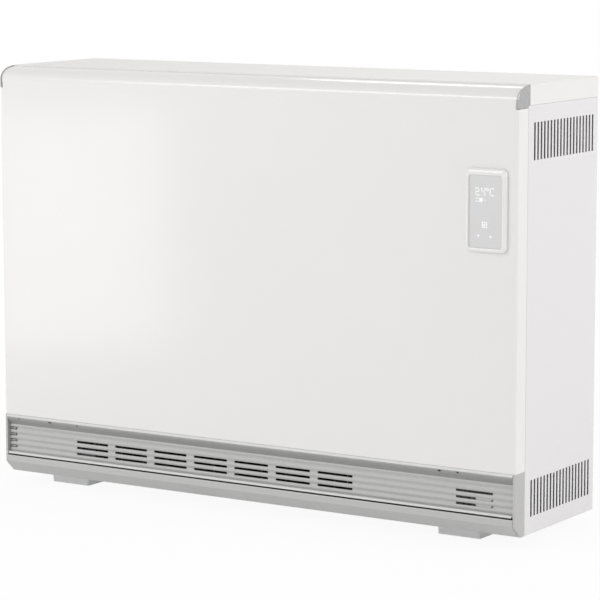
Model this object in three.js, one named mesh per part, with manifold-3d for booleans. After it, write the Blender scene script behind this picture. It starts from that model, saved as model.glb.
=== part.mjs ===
// A fan-assisted storage heater: a sheet-steel cabinet on two feet, a brick heat store packed in
// insulation, and a fan that blows warm air out through a slotted grille along the bottom.
//
// Millimetres, +X to the right seen from the front, +Y towards the wall, +Z up. The parts are drawn
// with the front face at y = 0 and the floor at z = 0; the whole is then moved along Y so that the
// origin lies on the floor under the middle of the bounding box.

import * as THREE from "three";
import { mergeVertices } from "three/addons/utils/BufferGeometryUtils.js";
import Module from "manifold-3d";

const wasm = await Module();
wasm.setup();

// ---- cabinet ----
const WIDTH = 926;
const DEPTH = 250;
const HEIGHT = 672;
const SHEET = 1.2;             // casing steel
const FIT = 0.3;               // clearance between fitted pieces
const SEAM = 0.8;              // open line between casing panels
const FRONT_WRAP = 29;         // how far the front pieces reach back round the sides
const FOLD = 12;               // stiffening fold on the side panels
const LID_FRONT = 35;
const LID_FLANGE = 30.5;
const FLOOR_GAP = 19;          // underside of the cabinet above the floor
const HALF = WIDTH / 2;
const INNER_HALF = HALF - SHEET;
const LID_EDGE_Z = HEIGHT - LID_FLANGE;
const SIDE_FRONT = FRONT_WRAP + SEAM;
const REAR_FACE = DEPTH - SHEET - FIT;

// ---- feet, base and back ----
const FOOT_WIDTH = 72.5;
const FOOT_FRONT = 52;
const FOOT_REAR_MARGIN = 18;
const FOOT_WALL = 3;
const FOOT_LEFT_INSET = 53;
const FOOT_RIGHT_INSET = 84.5;
const BASE_SHEET = 2;
const BASE_RIM = 25;
const BRACKET_WIDTH = 400;
const BRACKET_HEIGHT = 40;
const BRACKET_DROP = 72;
const GLAND_INSET = 63;
const GLAND_RISE = 49;
const GLAND_BORE = 4.5;
const GLAND_RADIUS = 9;
const GLAND_FLANGE = 12;
const GLAND_LENGTH = 14;
const BASE_TOP = FLOOR_GAP + BASE_SHEET;
const BASE_FRONT = SIDE_FRONT + SHEET + FIT;
const BASE_BACK = REAR_FACE - SHEET - FIT;
const BASE_HALF = INNER_HALF - FIT;
const GLAND_AT = [HALF - GLAND_INSET, BASE_TOP + GLAND_RISE];

// ---- grille and its surround, stacked up from the underside ----
const END_THICKNESS = 3.7;
const SURROUND_WALL = 2;
const SKIRT_CHAMFER = 18;      // height of the sloping face
const SKIRT_SETBACK = 19;      // depth of the sloping face
const SKIRT_FACE = 12;         // height of the upright face
const BEAD_RADIUS = 2.2;       // bead along the grille plate's lower edge
const BEAD_CLEARANCE = 1.4;
const HINGE_Y = 2.7;
const PIN_RADIUS = 1;
const PIN_LENGTH = 8;
const GRILLE_WALL = 1.8;
const GRILLE_FRONT = 1;
const RIB_CREST_Y = 5.5;
const RIB_VALLEY_Y = 8;
const RIB_PITCH = 9.65;
const RIB_COUNT = 5;
const RIB_STEPS = 6;           // facets in one rib
const BEAD_STEPS = 10;
const RIB_FOOT = 0.95;         // bead axis above the last valley
const BROW_HEIGHT = 9.8;
const LIP_HEIGHT = 3.4;
const SLOT_HEIGHT = 3;
const SLOT_LENGTH = 61.3;
const SLOT_CORNER = 0.8;
const SLOT_GROUPS = 7;
const SLOT_GROUP_PITCH = 75.1;
const SLOT_LEFT_INSET = 136.5;
const SLOT_RIGHT_INSET = 101.3;
const SLOT_ROWS = 3;
const NOTCH_LENGTH = 13;         // at the left end
const NOTCH_STUB = 2.5;          // and at the right
const NOTCH_HEIGHT = 4.4;
const FILTER_THICKNESS = 3;
const FILTER_BAR = 3;
const FILTER_CELLS = 12;
const SCREW_RADIUS = 1.9;
const SCREW_HEAD_RADIUS = 3.8;
const SCREW_HEAD_HEIGHT = 2;
const SCREW_LENGTH = 12;
const SCREW_INSET = 33;
const SCREW_Y = 19;
const SKIRT_BREAK_Z = FLOOR_GAP + SKIRT_CHAMFER;
const SHELF_Z = SKIRT_BREAK_Z + SKIRT_FACE;
const HINGE_Z = SHELF_Z + BEAD_CLEARANCE + BEAD_RADIUS;
const HINGE_AT = [HINGE_Y, HINGE_Z];
const RIB_TOP_Z = HINGE_Z - RIB_FOOT + RIB_COUNT * RIB_PITCH;
const GRILLE_TOP = RIB_TOP_Z + BROW_HEIGHT;
const LIP_BOTTOM = GRILLE_TOP + FIT;
const SURROUND_TOP = LIP_BOTTOM + LIP_HEIGHT;
const SURROUND_HALF = HALF - END_THICKNESS;
const SLOT_FIRST_X = SLOT_LEFT_INSET - HALF;
const SLOT_LONE_X = HALF - SLOT_RIGHT_INSET;
const SCREW_X = HALF - SCREW_INSET;

// ---- front panel: flat face, rolled back along its top ----
const PANEL_BOTTOM = SURROUND_TOP + SEAM;
const PANEL_RETURN = 25;
const ROLL_RISE = 19.5;
const ROLL_DROP = 2.5;         // top of the roll below the top of the lid
const ROLL_STEPS = 10;
const CAP_THICKNESS = 4;
const CAP_PROUD = 1.5;
const CAP_SKIRT = 4;           // the caps reach this far below the lid's flange
const CAP_PLUG = 12;
const ROLL_TOP = HEIGHT - ROLL_DROP;
const ROLL_START = ROLL_TOP - ROLL_RISE;
const ROLL_BACK = LID_FRONT - SEAM;
const CAP_BOTTOM = LID_EDGE_Z - CAP_SKIRT;

// ---- side vents ----
const VENT_PITCH = 10.1;
const VENT_WIDTH = 5;
const VENT_HEIGHT = 54;
const VENT_FIRST_Y = 50;
const VENT_REAR_MARGIN = 18;
const VENT_TOP_MARGIN = 25;
const VENT_COUNT = 1 + Math.floor((DEPTH - VENT_REAR_MARGIN - VENT_FIRST_Y) / VENT_PITCH);
const VENT_UPPER_Z = LID_EDGE_Z - VENT_TOP_MARGIN - VENT_HEIGHT;
const VENT_LOWER_Z = FLOOR_GAP + BASE_RIM + FIT;

// ---- touch control on the front ----
const CONTROL_WIDTH = 67;
const CONTROL_HEIGHT = 121;
const CONTROL_SIDE_MARGIN = 15.5;
const CONTROL_DROP = 119;
const CONTROL_CORNER = 9;
const CONTROL_PROUD = 7;
const CONTROL_RIM = 6.3;
const CONTROL_BROW = 9.8;        // the rim above the face
const CONTROL_RECESS = 2.2;
const CONTROL_PLATE = 3;
const BOARD_MARGIN = 10;
const BOARD_DEPTH = 12;
const CONTROL_X = HALF - CONTROL_SIDE_MARGIN - CONTROL_WIDTH / 2;
const CONTROL_Z = HEIGHT - CONTROL_DROP - CONTROL_HEIGHT / 2;

// ---- fan ----
const FAN_LENGTH = 470;
const FAN_LEAD = 16.5;         // the fan starts this far inside the first slot
const FAN_RISE = 55;           // fan axis above the base
const FAN_HEADROOM = 22;       // from the rotor up to the heat store
const ROTOR_RADIUS = 30;
const ROTOR_END_GAP = 4;
const ROTOR_DISC = 2;
const BLADES = 16;
const BLADE_DEPTH = 8;
const BLADE_SHEET = 0.8;
const BLADE_LEAN = 0.2;        // radians
const SHAFT_RADIUS = 3;
const BUSH_RADIUS = 7;
const BUSH_LENGTH = 8;
const MOTOR_RADIUS = 27;
const MOTOR_LENGTH = 45;
const MOTOR_NECK = 6;
const MOTOR_NECK_RADIUS = 18.9;
const STAND_SHEET = 1.5;
const STAND_WIDTH = 30;
const FAN_X0 = SLOT_FIRST_X + FAN_LEAD;
const FAN_X1 = FAN_X0 + FAN_LENGTH;
const FAN_Z = BASE_TOP + FAN_RISE;
const ROTOR_SPAN = [FAN_X0 + ROTOR_END_GAP, FAN_X1 - ROTOR_END_GAP];

// ---- heat store: bricks that fill the case, packed in insulation ----
const COLUMNS = 3;
const LAYERS = 4;
const ROD_RADIUS = 4;
const ROD_SPREAD = 68;         // distance between the two legs of a heating rod
const ROD_TAIL = 14;
const ROD_SIDES = 8;
const ROD_BEND_STEPS = 12;
const ROD_OVERLAP = 1;         // leg and bend run into each other by this much
const CHANNEL_COUNT = 3;       // air channels down the front of each brick
const CHANNEL_WIDTH = 40;
const CHANNEL_DEPTH = 14;
const INSULATION = 28;
const SIDE_INSULATION = 25;
const AIR_GAP = 50;            // room for the rods' bends, and the way up for the air
const CASE_SHEET = 1;
const CASE_SIDE_GAP = 23;
const CASE_TOP_GAP = 34.7;
const CASE_REAR_GAP = 12.1;
const CASE_Y = 40;
const CASE_Z = FAN_Z + ROTOR_RADIUS + FAN_HEADROOM;
const BAY_WIDTH = 130.8;       // electrics bay, inside the right side panel
const PARTITION_SHEET = 1.2;
const BAY_X = INNER_HALF - BAY_WIDTH;
const CASE_X = CASE_SIDE_GAP - HALF;
const CASE_X1 = BAY_X - PARTITION_SHEET - FIT;
const CASE_Y1 = REAR_FACE - SHEET - CASE_REAR_GAP;
const CASE_Z1 = HEIGHT - SHEET - CASE_TOP_GAP;
const CASE_INNER_X = CASE_X + CASE_SHEET + FIT;
const CASE_INNER_Y = CASE_Y + CASE_SHEET + FIT;
const CASE_INNER_Z = CASE_Z + CASE_SHEET + FIT;
const CASE_INNER_X1 = CASE_X1 - CASE_SHEET - FIT;
const CASE_INNER_Y1 = CASE_Y1 - CASE_SHEET - FIT;
const CASE_INNER_Z1 = CASE_Z1 - CASE_SHEET - FIT;
const STORE_X = CASE_INNER_X + SIDE_INSULATION + AIR_GAP;
const STORE_Y = CASE_INNER_Y + INSULATION + FIT;
const STORE_Z = CASE_INNER_Z + INSULATION + FIT;
const STORE_X1 = CASE_INNER_X1 - SIDE_INSULATION - FIT;
const STORE_Y1 = CASE_INNER_Y1 - INSULATION - FIT;
const STORE_Z1 = CASE_INNER_Z1 - INSULATION - FIT;
const STORE_MIDDLE_Y = (STORE_Y + STORE_Y1) / 2;
const BRICK_WIDTH = (STORE_X1 - STORE_X + FIT) / COLUMNS - FIT;
const BRICK_HEIGHT = (STORE_Z1 - STORE_Z + FIT) / LAYERS - FIT;

// ---- air path: duct in front of the rotor, flap inside it ----
const DUCT_SHEET = 1.2;
const DUCT_LEAD = 9.6;         // duct ahead of the bricks' air channels
const DUCT_TAIL = 6.4;         // and behind them
const OUTLET_DROP = 0.9;       // outlet roof below the top of the ribs
const OUTLET_FRONT = 34;
const OUTLET_STEP = 1;
const SCROLL_TIGHT = 4;
const SCROLL_OPEN = 12;
const SCROLL_START = 110;      // degrees, from the back horizontal
const SCROLL_END = -90;
const SCROLL_STEPS = 12;
const FLAP_LENGTH = 22;
const FLAP_SHEET = 1.2;
const FLAP_ROD_RADIUS = 2;
const FLAP_DROP = 7;
const ACTUATOR_SIZE = 22;
const ACTUATOR_BACK = 6.6;     // wall behind the rod's socket
const DUCT_FRONT = STORE_Y - DUCT_LEAD;
const DUCT_BACK = STORE_Y + CHANNEL_DEPTH + DUCT_TAIL;
const OUTLET_ROOF_Z = RIB_TOP_Z - OUTLET_DROP;
const OUTLET_FLOOR_Z = SHELF_Z + OUTLET_STEP;
const AIR_SLOT = [FAN_X0 + FIT + DUCT_SHEET, FAN_X1 - FIT - DUCT_SHEET];
const FAN_Y = DUCT_BACK + ROTOR_RADIUS;
const FAN_AXIS = [FAN_Y, FAN_Z];
const FLAP_Y = DUCT_FRONT + DUCT_SHEET + FIT + FLAP_ROD_RADIUS;
const FLAP_Z = CASE_Z - FLAP_DROP;

// ---- electrics, in the bay right of the heat store ----
const PCB = 1.6;
const PCB_LENGTH = 130;
const PCB_HEIGHT = 140;
const PCB_DROP = 19.75;        // top edge below the lowest heating rod
const PCB_SETBACK = 0.4;       // front edge behind the bricks' front
const STANDOFF = 4;
const STANDOFF_INSET = 8;
const STANDOFF_SIDES = 8;
const RELAY_COUNT = 3;
const RELAY_FIRST = 18;
const RELAY_PITCH = 32;
const RELAY_LENGTH = 22;
const RELAY_HEIGHT = 32;
const RELAY_DEPTH = 18;
const RELAY_INSET = 28;
const SINK_MARGIN = 20;
const SINK_HEIGHT = 30;
const SINK_DEPTH = 30;
const SINK_INSET = 15;
const TERMINAL_LENGTH = 75;
const TERMINAL_DEPTH = 32;
const TERMINAL_HEIGHT = 42;
const TERMINAL_SIDE_GAP = 21.5;
const TERMINAL_SETBACK = 12.7;
const TERMINAL_COUNT = 6;
const TERMINAL_WELL = 12;
const TERMINAL_WELL_RADIUS = 3.5;
const CUTOUT_RADIUS = 14;
const CUTOUT_HEIGHT = 12;
const CUTOUT_LIFT = 1.8;
const BUTTON_RADIUS = 3;
const BUTTON_PROUD = 4;
const BUTTON_SEAT = 4;
const BUTTON_TRAVEL = 2;

const CUT = 1;                 // a cutter runs this far past what it cuts
const ROUND = 24;              // facets of a round piece
const MEDIUM_ROUND = 16;
const SMALL_ROUND = 12;

// ---- finishes ----
const white = new THREE.MeshStandardMaterial({ color: 0xeceae8, roughness: 0.35, metalness: 0 });
const silver = new THREE.MeshStandardMaterial({ color: 0xb4b4b3, roughness: 0.45, metalness: 0.2 });
const facePlate = new THREE.MeshStandardMaterial({ color: 0xd2d3d2, roughness: 0.25, metalness: 0 });
const capGrey = new THREE.MeshStandardMaterial({ color: 0xaeadac, roughness: 0.4, metalness: 0.1 });
const steel = new THREE.MeshStandardMaterial({ color: 0xa5a9ad, roughness: 0.35, metalness: 0.9 });
const brick = new THREE.MeshStandardMaterial({ color: 0x6a4a3c, roughness: 0.95, metalness: 0 });
const board = new THREE.MeshStandardMaterial({ color: 0xd9d2c4, roughness: 1, metalness: 0 });
const rodSteel = new THREE.MeshStandardMaterial({ color: 0x55504c, roughness: 0.5, metalness: 0.8 });
const black = new THREE.MeshStandardMaterial({ color: 0x1d1e20, roughness: 0.6, metalness: 0 });
const circuit = new THREE.MeshStandardMaterial({ color: 0x2f5d43, roughness: 0.6, metalness: 0 });
const red = new THREE.MeshStandardMaterial({ color: 0xb3261e, roughness: 0.4, metalness: 0 });

const heater = new THREE.Group();

// ---- building blocks ----

const direction = (x, y, z) => new THREE.Vector3(x, y, z);

// An outline is drawn across the axis it runs along: (y, z) for x, (x, z) for y and (x, y) for z.
const RUN = {
  x: new THREE.Matrix4().makeBasis(direction(0, 1, 0), direction(0, 0, 1), direction(1, 0, 0)),
  y: new THREE.Matrix4().makeBasis(direction(1, 0, 0), direction(0, 0, 1), direction(0, -1, 0)),
  z: new THREE.Matrix4(),
};

function solid(geometry) {
  geometry.deleteAttribute("normal");
  geometry.deleteAttribute("uv");
  const merged = mergeVertices(geometry, 1e-4);
  return new wasm.Manifold(new wasm.Mesh({
    numProp: 3,
    vertProperties: new Float32Array(merged.getAttribute("position").array),
    triVerts: new Uint32Array(merged.getIndex().array),
  }));
}

function prism(axis, outline, [from, to]) {
  const shape = new THREE.Shape(outline.map(([a, b]) => new THREE.Vector2(a, b)));
  const geometry = new THREE.ExtrudeGeometry(shape, { depth: to - from, bevelEnabled: false });
  geometry.translate(0, 0, axis === "y" ? -to : from);
  return solid(geometry.applyMatrix4(RUN[axis]));
}

function block([x0, x1], [y0, y1], [z0, z1]) {
  const geometry = new THREE.BoxGeometry(x1 - x0, y1 - y0, z1 - z0);
  geometry.translate((x0 + x1) / 2, (y0 + y1) / 2, (z0 + z1) / 2);
  return solid(geometry);
}

function rod(axis, radius, [from, to], [a, b], sides = ROUND) {
  const outline = [];
  for (let i = 0; i < sides; i += 1) {
    const angle = (2 * Math.PI * i) / sides;
    outline.push([a + radius * Math.cos(angle), b + radius * Math.sin(angle)]);
  }
  return prism(axis, outline, [from, to]);
}

const join = (...bodies) => bodies.reduce((whole, body) => whole.add(body));
const cut = (body, ...tools) => tools.reduce((rest, tool) => rest.subtract(tool), body);

// The span [a, b] on the right side, or its mirror image on the left.
const onSide = (side, a, b) => (side > 0 ? [a, b] : [-b, -a]);

function arc([a, b], radiusA, radiusB, fromDegrees, toDegrees, steps) {
  const points = [];
  for (let i = 0; i <= steps; i += 1) {
    const angle = THREE.MathUtils.degToRad(fromDegrees + ((toDegrees - fromDegrees) * i) / steps);
    points.push([a + radiusA * Math.cos(angle), b + radiusB * Math.sin(angle)]);
  }
  return points;
}

function roundedBox([a0, a1], [b0, b1], radius, steps = 4) {
  return [
    ...arc([a1 - radius, b0 + radius], radius, radius, -90, 0, steps),
    ...arc([a1 - radius, b1 - radius], radius, radius, 0, 90, steps),
    ...arc([a0 + radius, b1 - radius], radius, radius, 90, 180, steps),
    ...arc([a0 + radius, b0 + radius], radius, radius, 180, 270, steps),
  ];
}

// A sheet of even thickness along a line, on the line's left-hand side.
function sheetOutline(line, thickness) {
  const normals = line.slice(1).map(([a, b], i) => {
    const [da, db] = [a - line[i][0], b - line[i][1]];
    const length = Math.hypot(da, db);
    return [-db / length, da / length];
  });
  const offset = line.map(([a, b], i) => {
    const before = normals[Math.max(i - 1, 0)];
    const after = normals[Math.min(i, normals.length - 1)];
    const spread = 1 + before[0] * after[0] + before[1] * after[1];
    const reach = thickness / spread;
    return [a + (before[0] + after[0]) * reach, b + (before[1] + after[1]) * reach];
  });
  return [...line, ...offset.reverse()];
}

function place(name, material, body) {
  const { vertProperties, triVerts } = body.getMesh();
  const geometry = new THREE.BufferGeometry();
  geometry.setAttribute("position", new THREE.BufferAttribute(vertProperties, 3));
  geometry.setIndex(new THREE.BufferAttribute(triVerts, 1));
  geometry.computeVertexNormals();
  const mesh = new THREE.Mesh(geometry, material);
  mesh.name = name;
  heater.add(mesh);
}

// ---- casing ----

function ventSlots(side, z) {
  const slots = [];
  for (let i = 0; i < VENT_COUNT; i += 1) {
    const middle = VENT_FIRST_Y + i * VENT_PITCH;
    const across = [middle - VENT_WIDTH / 2, middle + VENT_WIDTH / 2];
    slots.push(block(onSide(side, INNER_HALF - CUT, HALF + CUT), across, [z, z + VENT_HEIGHT]));
  }
  return slots;
}

function sidePanel(side) {
  const line = [
    [side * (HALF - FOLD), SIDE_FRONT],
    [side * HALF, SIDE_FRONT],
    [side * HALF, DEPTH],
    [side * (HALF - FOLD), DEPTH],
  ];
  const outline = sheetOutline(side > 0 ? line : line.reverse(), SHEET);
  const panel = prism("z", outline, [FLOOR_GAP, LID_EDGE_Z - SEAM]);
  return cut(panel, ...ventSlots(side, VENT_UPPER_Z), ...ventSlots(side, VENT_LOWER_Z));
}

function topCover() {
  const outer = block([-HALF, HALF], [LID_FRONT, DEPTH], [LID_EDGE_Z, HEIGHT]);
  const inner = block(
    [-INNER_HALF, INNER_HALF],
    [LID_FRONT - CUT, DEPTH - SHEET],
    [LID_EDGE_Z - CUT, HEIGHT - SHEET],
  );
  return cut(outer, inner);
}

// The front panel's rolled top as a line in (y, z), moved outwards by a distance.
function rollLine(outwards) {
  const centre = [ROLL_BACK, ROLL_START];
  return arc(centre, ROLL_BACK + outwards, ROLL_TOP - ROLL_START + outwards, 180, 90, ROLL_STEPS);
}

// The holes for the two screws that hold the front panel down to the grille's rail.
function screwBores([from, to]) {
  return [-1, 1].map((side) => (
    rod("z", SCREW_RADIUS + FIT, [from - CUT, to + CUT], [side * SCREW_X, SCREW_Y])
  ));
}

function frontPanel() {
  const rollHalf = HALF - CAP_THICKNESS - FIT;
  const roll = [...rollLine(0), ...rollLine(-SHEET).reverse()];
  const upper = [[0, PANEL_BOTTOM], ...roll, [SHEET, PANEL_BOTTOM]];
  const wrap = sheetOutline([
    [HALF, FRONT_WRAP],
    [HALF, 0],
    [-HALF, 0],
    [-HALF, FRONT_WRAP],
  ].reverse(), SHEET);
  const controlWindow = block(
    [CONTROL_X - CONTROL_WIDTH / 2 + BOARD_MARGIN, CONTROL_X + CONTROL_WIDTH / 2 - BOARD_MARGIN],
    [-CUT, SHEET + CUT],
    [CONTROL_Z - CONTROL_HEIGHT / 2 + BOARD_MARGIN, CONTROL_Z + CONTROL_HEIGHT / 2 - BOARD_MARGIN],
  );
  const screwHoles = screwBores([PANEL_BOTTOM, PANEL_BOTTOM + SHEET]);
  return cut(
    join(
      prism("z", wrap, [PANEL_BOTTOM, CAP_BOTTOM - FIT]),
      prism("x", upper, [-rollHalf, rollHalf]),
      block([-INNER_HALF, INNER_HALF], [SHEET / 2, PANEL_RETURN], [PANEL_BOTTOM, PANEL_BOTTOM + SHEET]),
    ),
    controlWindow,
    ...screwHoles,
  );
}

function rollCap(side) {
  const outline = [
    [-CAP_PROUD, CAP_BOTTOM],
    ...rollLine(CAP_PROUD),
    [ROLL_BACK, LID_EDGE_Z],
    [FRONT_WRAP, LID_EDGE_Z],
    [FRONT_WRAP, CAP_BOTTOM],
  ];
  const inside = HALF - CAP_THICKNESS;
  const plug = block(
    onSide(side, inside - CAP_PLUG, inside + CAP_THICKNESS / 2),
    [SHEET + CAP_PROUD, ROLL_BACK - CAP_PROUD],
    [LID_EDGE_Z, ROLL_START + CAP_PROUD],
  );
  return join(prism("x", outline, onSide(side, inside, HALF)), plug);
}

function rearPanel() {
  const sheet = block(
    [-BASE_HALF, BASE_HALF],
    [REAR_FACE - SHEET, REAR_FACE],
    [BASE_TOP, HEIGHT - SHEET - FIT],
  );
  const glandHole = rod("y", GLAND_RADIUS + FIT, [REAR_FACE - SHEET - CUT, REAR_FACE + CUT], GLAND_AT);
  return cut(sheet, glandHole);
}

function baseTray() {
  const outer = block([-BASE_HALF, BASE_HALF], [BASE_FRONT, BASE_BACK], [FLOOR_GAP, FLOOR_GAP + BASE_RIM]);
  const inner = block(
    [-BASE_HALF + BASE_SHEET, BASE_HALF - BASE_SHEET],
    [BASE_FRONT + BASE_SHEET, BASE_BACK - BASE_SHEET],
    [BASE_TOP, FLOOR_GAP + BASE_RIM + CUT],
  );
  return cut(outer, inner);
}

function foot(x) {
  const [front, back] = [FOOT_FRONT, DEPTH - FOOT_REAR_MARGIN];
  const outer = block([x, x + FOOT_WIDTH], [front, back], [0, FLOOR_GAP]);
  const inner = block(
    [x + FOOT_WALL, x + FOOT_WIDTH - FOOT_WALL],
    [front + FOOT_WALL, back - FOOT_WALL],
    [FOOT_WALL, FLOOR_GAP + CUT],
  );
  return cut(outer, inner);
}

place("base_tray", steel, baseTray());
place("foot_left", white, foot(FOOT_LEFT_INSET - HALF));
place("foot_right", white, foot(HALF - FOOT_RIGHT_INSET - FOOT_WIDTH));
place("rear_panel", white, rearPanel());
place("side_panel_left", white, sidePanel(-1));
place("side_panel_right", white, sidePanel(1));
place("top_cover", white, topCover());
place("front_panel", white, frontPanel());
place("roll_cap_left", capGrey, rollCap(-1));
place("roll_cap_right", capGrey, rollCap(1));
place("wall_bracket", steel, block(
  [-BRACKET_WIDTH / 2, BRACKET_WIDTH / 2],
  [REAR_FACE, DEPTH],
  [HEIGHT - BRACKET_DROP - BRACKET_HEIGHT, HEIGHT - BRACKET_DROP],
));

// ---- grille and its surround ----

function grilleRail() {
  const outline = [
    [0, LIP_BOTTOM],
    [0, SURROUND_TOP],
    [FRONT_WRAP, SURROUND_TOP],
    [FRONT_WRAP, SURROUND_TOP - SHEET],
    [SURROUND_WALL, SURROUND_TOP - SHEET],
    [SURROUND_WALL, LIP_BOTTOM],
  ];
  const rail = prism("x", outline, [-SURROUND_HALF + FIT, SURROUND_HALF - FIT]);
  return cut(rail, ...screwBores([SURROUND_TOP - SHEET, SURROUND_TOP]));
}

function skirtTrim() {
  const line = [
    [FRONT_WRAP, SHELF_Z],
    [0, SHELF_Z],
    [0, SKIRT_BREAK_Z],
    [SKIRT_SETBACK, FLOOR_GAP],
    [FRONT_WRAP, FLOOR_GAP],
  ];
  return prism("x", sheetOutline(line, SURROUND_WALL), [-SURROUND_HALF + FIT, SURROUND_HALF - FIT]);
}

function grilleEnd(side) {
  const outline = [
    [0, SURROUND_TOP],
    [0, SKIRT_BREAK_Z],
    [SKIRT_SETBACK, FLOOR_GAP],
    [FRONT_WRAP, FLOOR_GAP],
    [FRONT_WRAP, SURROUND_TOP],
  ];
  const middle = SURROUND_HALF + END_THICKNESS / 2;
  const pin = rod("x", PIN_RADIUS, onSide(side, SURROUND_HALF - PIN_LENGTH, middle), HINGE_AT, SMALL_ROUND);
  const flange = block(
    onSide(side, SURROUND_HALF - FOLD, middle),
    [FRONT_WRAP - SURROUND_WALL, FRONT_WRAP],
    [SHELF_Z + FIT, SURROUND_TOP - SHEET - FIT],
  );
  return join(prism("x", outline, onSide(side, SURROUND_HALF, HALF)), pin, flange);
}

// Depth of the ribbed sheet at a height below its top valley: waves between valley and crest.
function ribDepth(drop) {
  const middle = (RIB_VALLEY_Y + RIB_CREST_Y) / 2;
  const swing = (RIB_VALLEY_Y - RIB_CREST_Y) / 2;
  return middle + swing * Math.cos((2 * Math.PI * drop) / RIB_PITCH);
}

const valleyZ = (row) => RIB_TOP_Z - row * RIB_PITCH;

function grilleOutline() {
  const waves = [];
  const ribFacets = RIB_COUNT * RIB_STEPS - 1;
  for (let i = 0; i <= ribFacets; i += 1) {
    const drop = (i * RIB_PITCH) / RIB_STEPS;
    waves.push([ribDepth(drop), RIB_TOP_Z - drop]);
  }
  const back = waves.map(([y, z]) => [y + GRILLE_WALL, z]).reverse();
  const beadTop = HINGE_Z + BEAD_RADIUS;
  return [
    [GRILLE_FRONT, GRILLE_TOP],
    ...waves.filter(([, z]) => z > beadTop),
    ...arc(HINGE_AT, BEAD_RADIUS, BEAD_RADIUS, 60, 270, BEAD_STEPS),
    [RIB_VALLEY_Y, HINGE_Z - BEAD_RADIUS],
    ...back.filter(([, z]) => z > HINGE_Z),
    [GRILLE_FRONT + GRILLE_WALL, GRILLE_TOP],
  ];
}

// The slots lie in the three valleys between the second and the last rib.
const rowZ = (row) => valleyZ(row + RIB_COUNT - SLOT_ROWS);
const THROUGH_RIBS = [RIB_CREST_Y - CUT, RIB_VALLEY_Y + GRILLE_WALL + CUT];

function slotCutter(from, z) {
  const span = [from, from + SLOT_LENGTH];
  const outline = roundedBox(span, [z - SLOT_HEIGHT / 2, z + SLOT_HEIGHT / 2], SLOT_CORNER, 2);
  return prism("y", outline, THROUGH_RIBS);
}

function grillePlate() {
  const half = SURROUND_HALF - 2 * FIT;
  const slots = [];
  for (let row = 0; row < SLOT_ROWS; row += 1) {
    for (let group = 0; group < SLOT_GROUPS; group += 1) {
      slots.push(slotCutter(SLOT_FIRST_X + group * SLOT_GROUP_PITCH, rowZ(row)));
    }
    slots.push(slotCutter(SLOT_LONE_X, rowZ(row)));
  }
  const notches = [];
  for (let row = 1; row < RIB_COUNT; row += 1) {
    const across = [valleyZ(row) - NOTCH_HEIGHT / 2, valleyZ(row) + NOTCH_HEIGHT / 2];
    for (const [side, length] of [[-1, NOTCH_LENGTH], [1, NOTCH_STUB]]) {
      notches.push(block(onSide(side, half - length, half + CUT), THROUGH_RIBS, across));
    }
  }
  const bores = [-1, 1].map((side) => (
    rod("x", PIN_RADIUS + FIT, onSide(side, half - PIN_LENGTH, half + CUT), HINGE_AT, SMALL_ROUND)
  ));
  return cut(prism("x", grilleOutline(), [-half, half]), ...slots, ...notches, ...bores);
}

function lintFilter() {
  const front = RIB_VALLEY_Y + GRILLE_WALL + FIT;
  const [x0, x1] = [SLOT_FIRST_X - FILTER_BAR, SLOT_FIRST_X + SLOT_GROUPS * SLOT_GROUP_PITCH];
  const [z0, z1] = [rowZ(SLOT_ROWS - 1) - RIB_PITCH / 2, rowZ(0) + RIB_PITCH / 2];
  const frame = block([x0, x1], [front, front + FILTER_THICKNESS], [z0, z1]);
  const pitch = (x1 - x0 - FILTER_BAR) / FILTER_CELLS;
  const through = [front - CUT, front + FILTER_THICKNESS + CUT];
  const windows = [];
  for (let i = 0; i < FILTER_CELLS; i += 1) {
    const start = x0 + FILTER_BAR + i * pitch;
    windows.push(block([start, start + pitch - FILTER_BAR], through, [z0 + FILTER_BAR, z1 - FILTER_BAR]));
  }
  return cut(frame, ...windows);
}

function panelScrew(side) {
  const headTop = SURROUND_TOP - SHEET - FIT;
  const at = [side * SCREW_X, SCREW_Y];
  return join(
    rod("z", SCREW_HEAD_RADIUS, [headTop - SCREW_HEAD_HEIGHT, headTop], at, SMALL_ROUND),
    rod("z", SCREW_RADIUS, [headTop - SCREW_HEAD_HEIGHT / 2, headTop + SCREW_LENGTH], at, SMALL_ROUND),
  );
}

place("grille_rail", silver, grilleRail());
place("skirt_trim", silver, skirtTrim());
place("grille_end_left", silver, grilleEnd(-1));
place("grille_end_right", silver, grilleEnd(1));
place("grille_plate", silver, grillePlate());
place("lint_filter", black, lintFilter());
place("panel_screw_left", steel, panelScrew(-1));
place("panel_screw_right", steel, panelScrew(1));

// ---- touch control ----

const controlSpan = (inset, topInset = inset) => [
  [CONTROL_X - CONTROL_WIDTH / 2 + inset, CONTROL_X + CONTROL_WIDTH / 2 - inset],
  [CONTROL_Z - CONTROL_HEIGHT / 2 + inset, CONTROL_Z + CONTROL_HEIGHT / 2 - topInset],
];

function controlBezel() {
  const outer = roundedBox(...controlSpan(0), CONTROL_CORNER);
  const inner = roundedBox(...controlSpan(CONTROL_RIM, CONTROL_BROW), CONTROL_CORNER - CONTROL_RIM);
  return cut(prism("y", outer, [-CONTROL_PROUD, 0]), prism("y", inner, [-CONTROL_PROUD - CUT, CUT]));
}

function controlFace() {
  const front = -CONTROL_PROUD + CONTROL_RECESS;
  const opening = controlSpan(CONTROL_RIM + FIT, CONTROL_BROW + FIT);
  const outline = roundedBox(...opening, CONTROL_CORNER - CONTROL_RIM);
  return prism("y", outline, [front, front + CONTROL_PLATE]);
}

function controlBoard() {
  const [across, up] = controlSpan(BOARD_MARGIN + FIT);
  const front = -CONTROL_PROUD + CONTROL_RECESS + CONTROL_PLATE + FIT;
  return block(across, [front, front + BOARD_DEPTH], up);
}

place("control_bezel", white, controlBezel());
place("control_face", facePlate, controlFace());
place("control_board", circuit, controlBoard());

// ---- heat store ----

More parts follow.
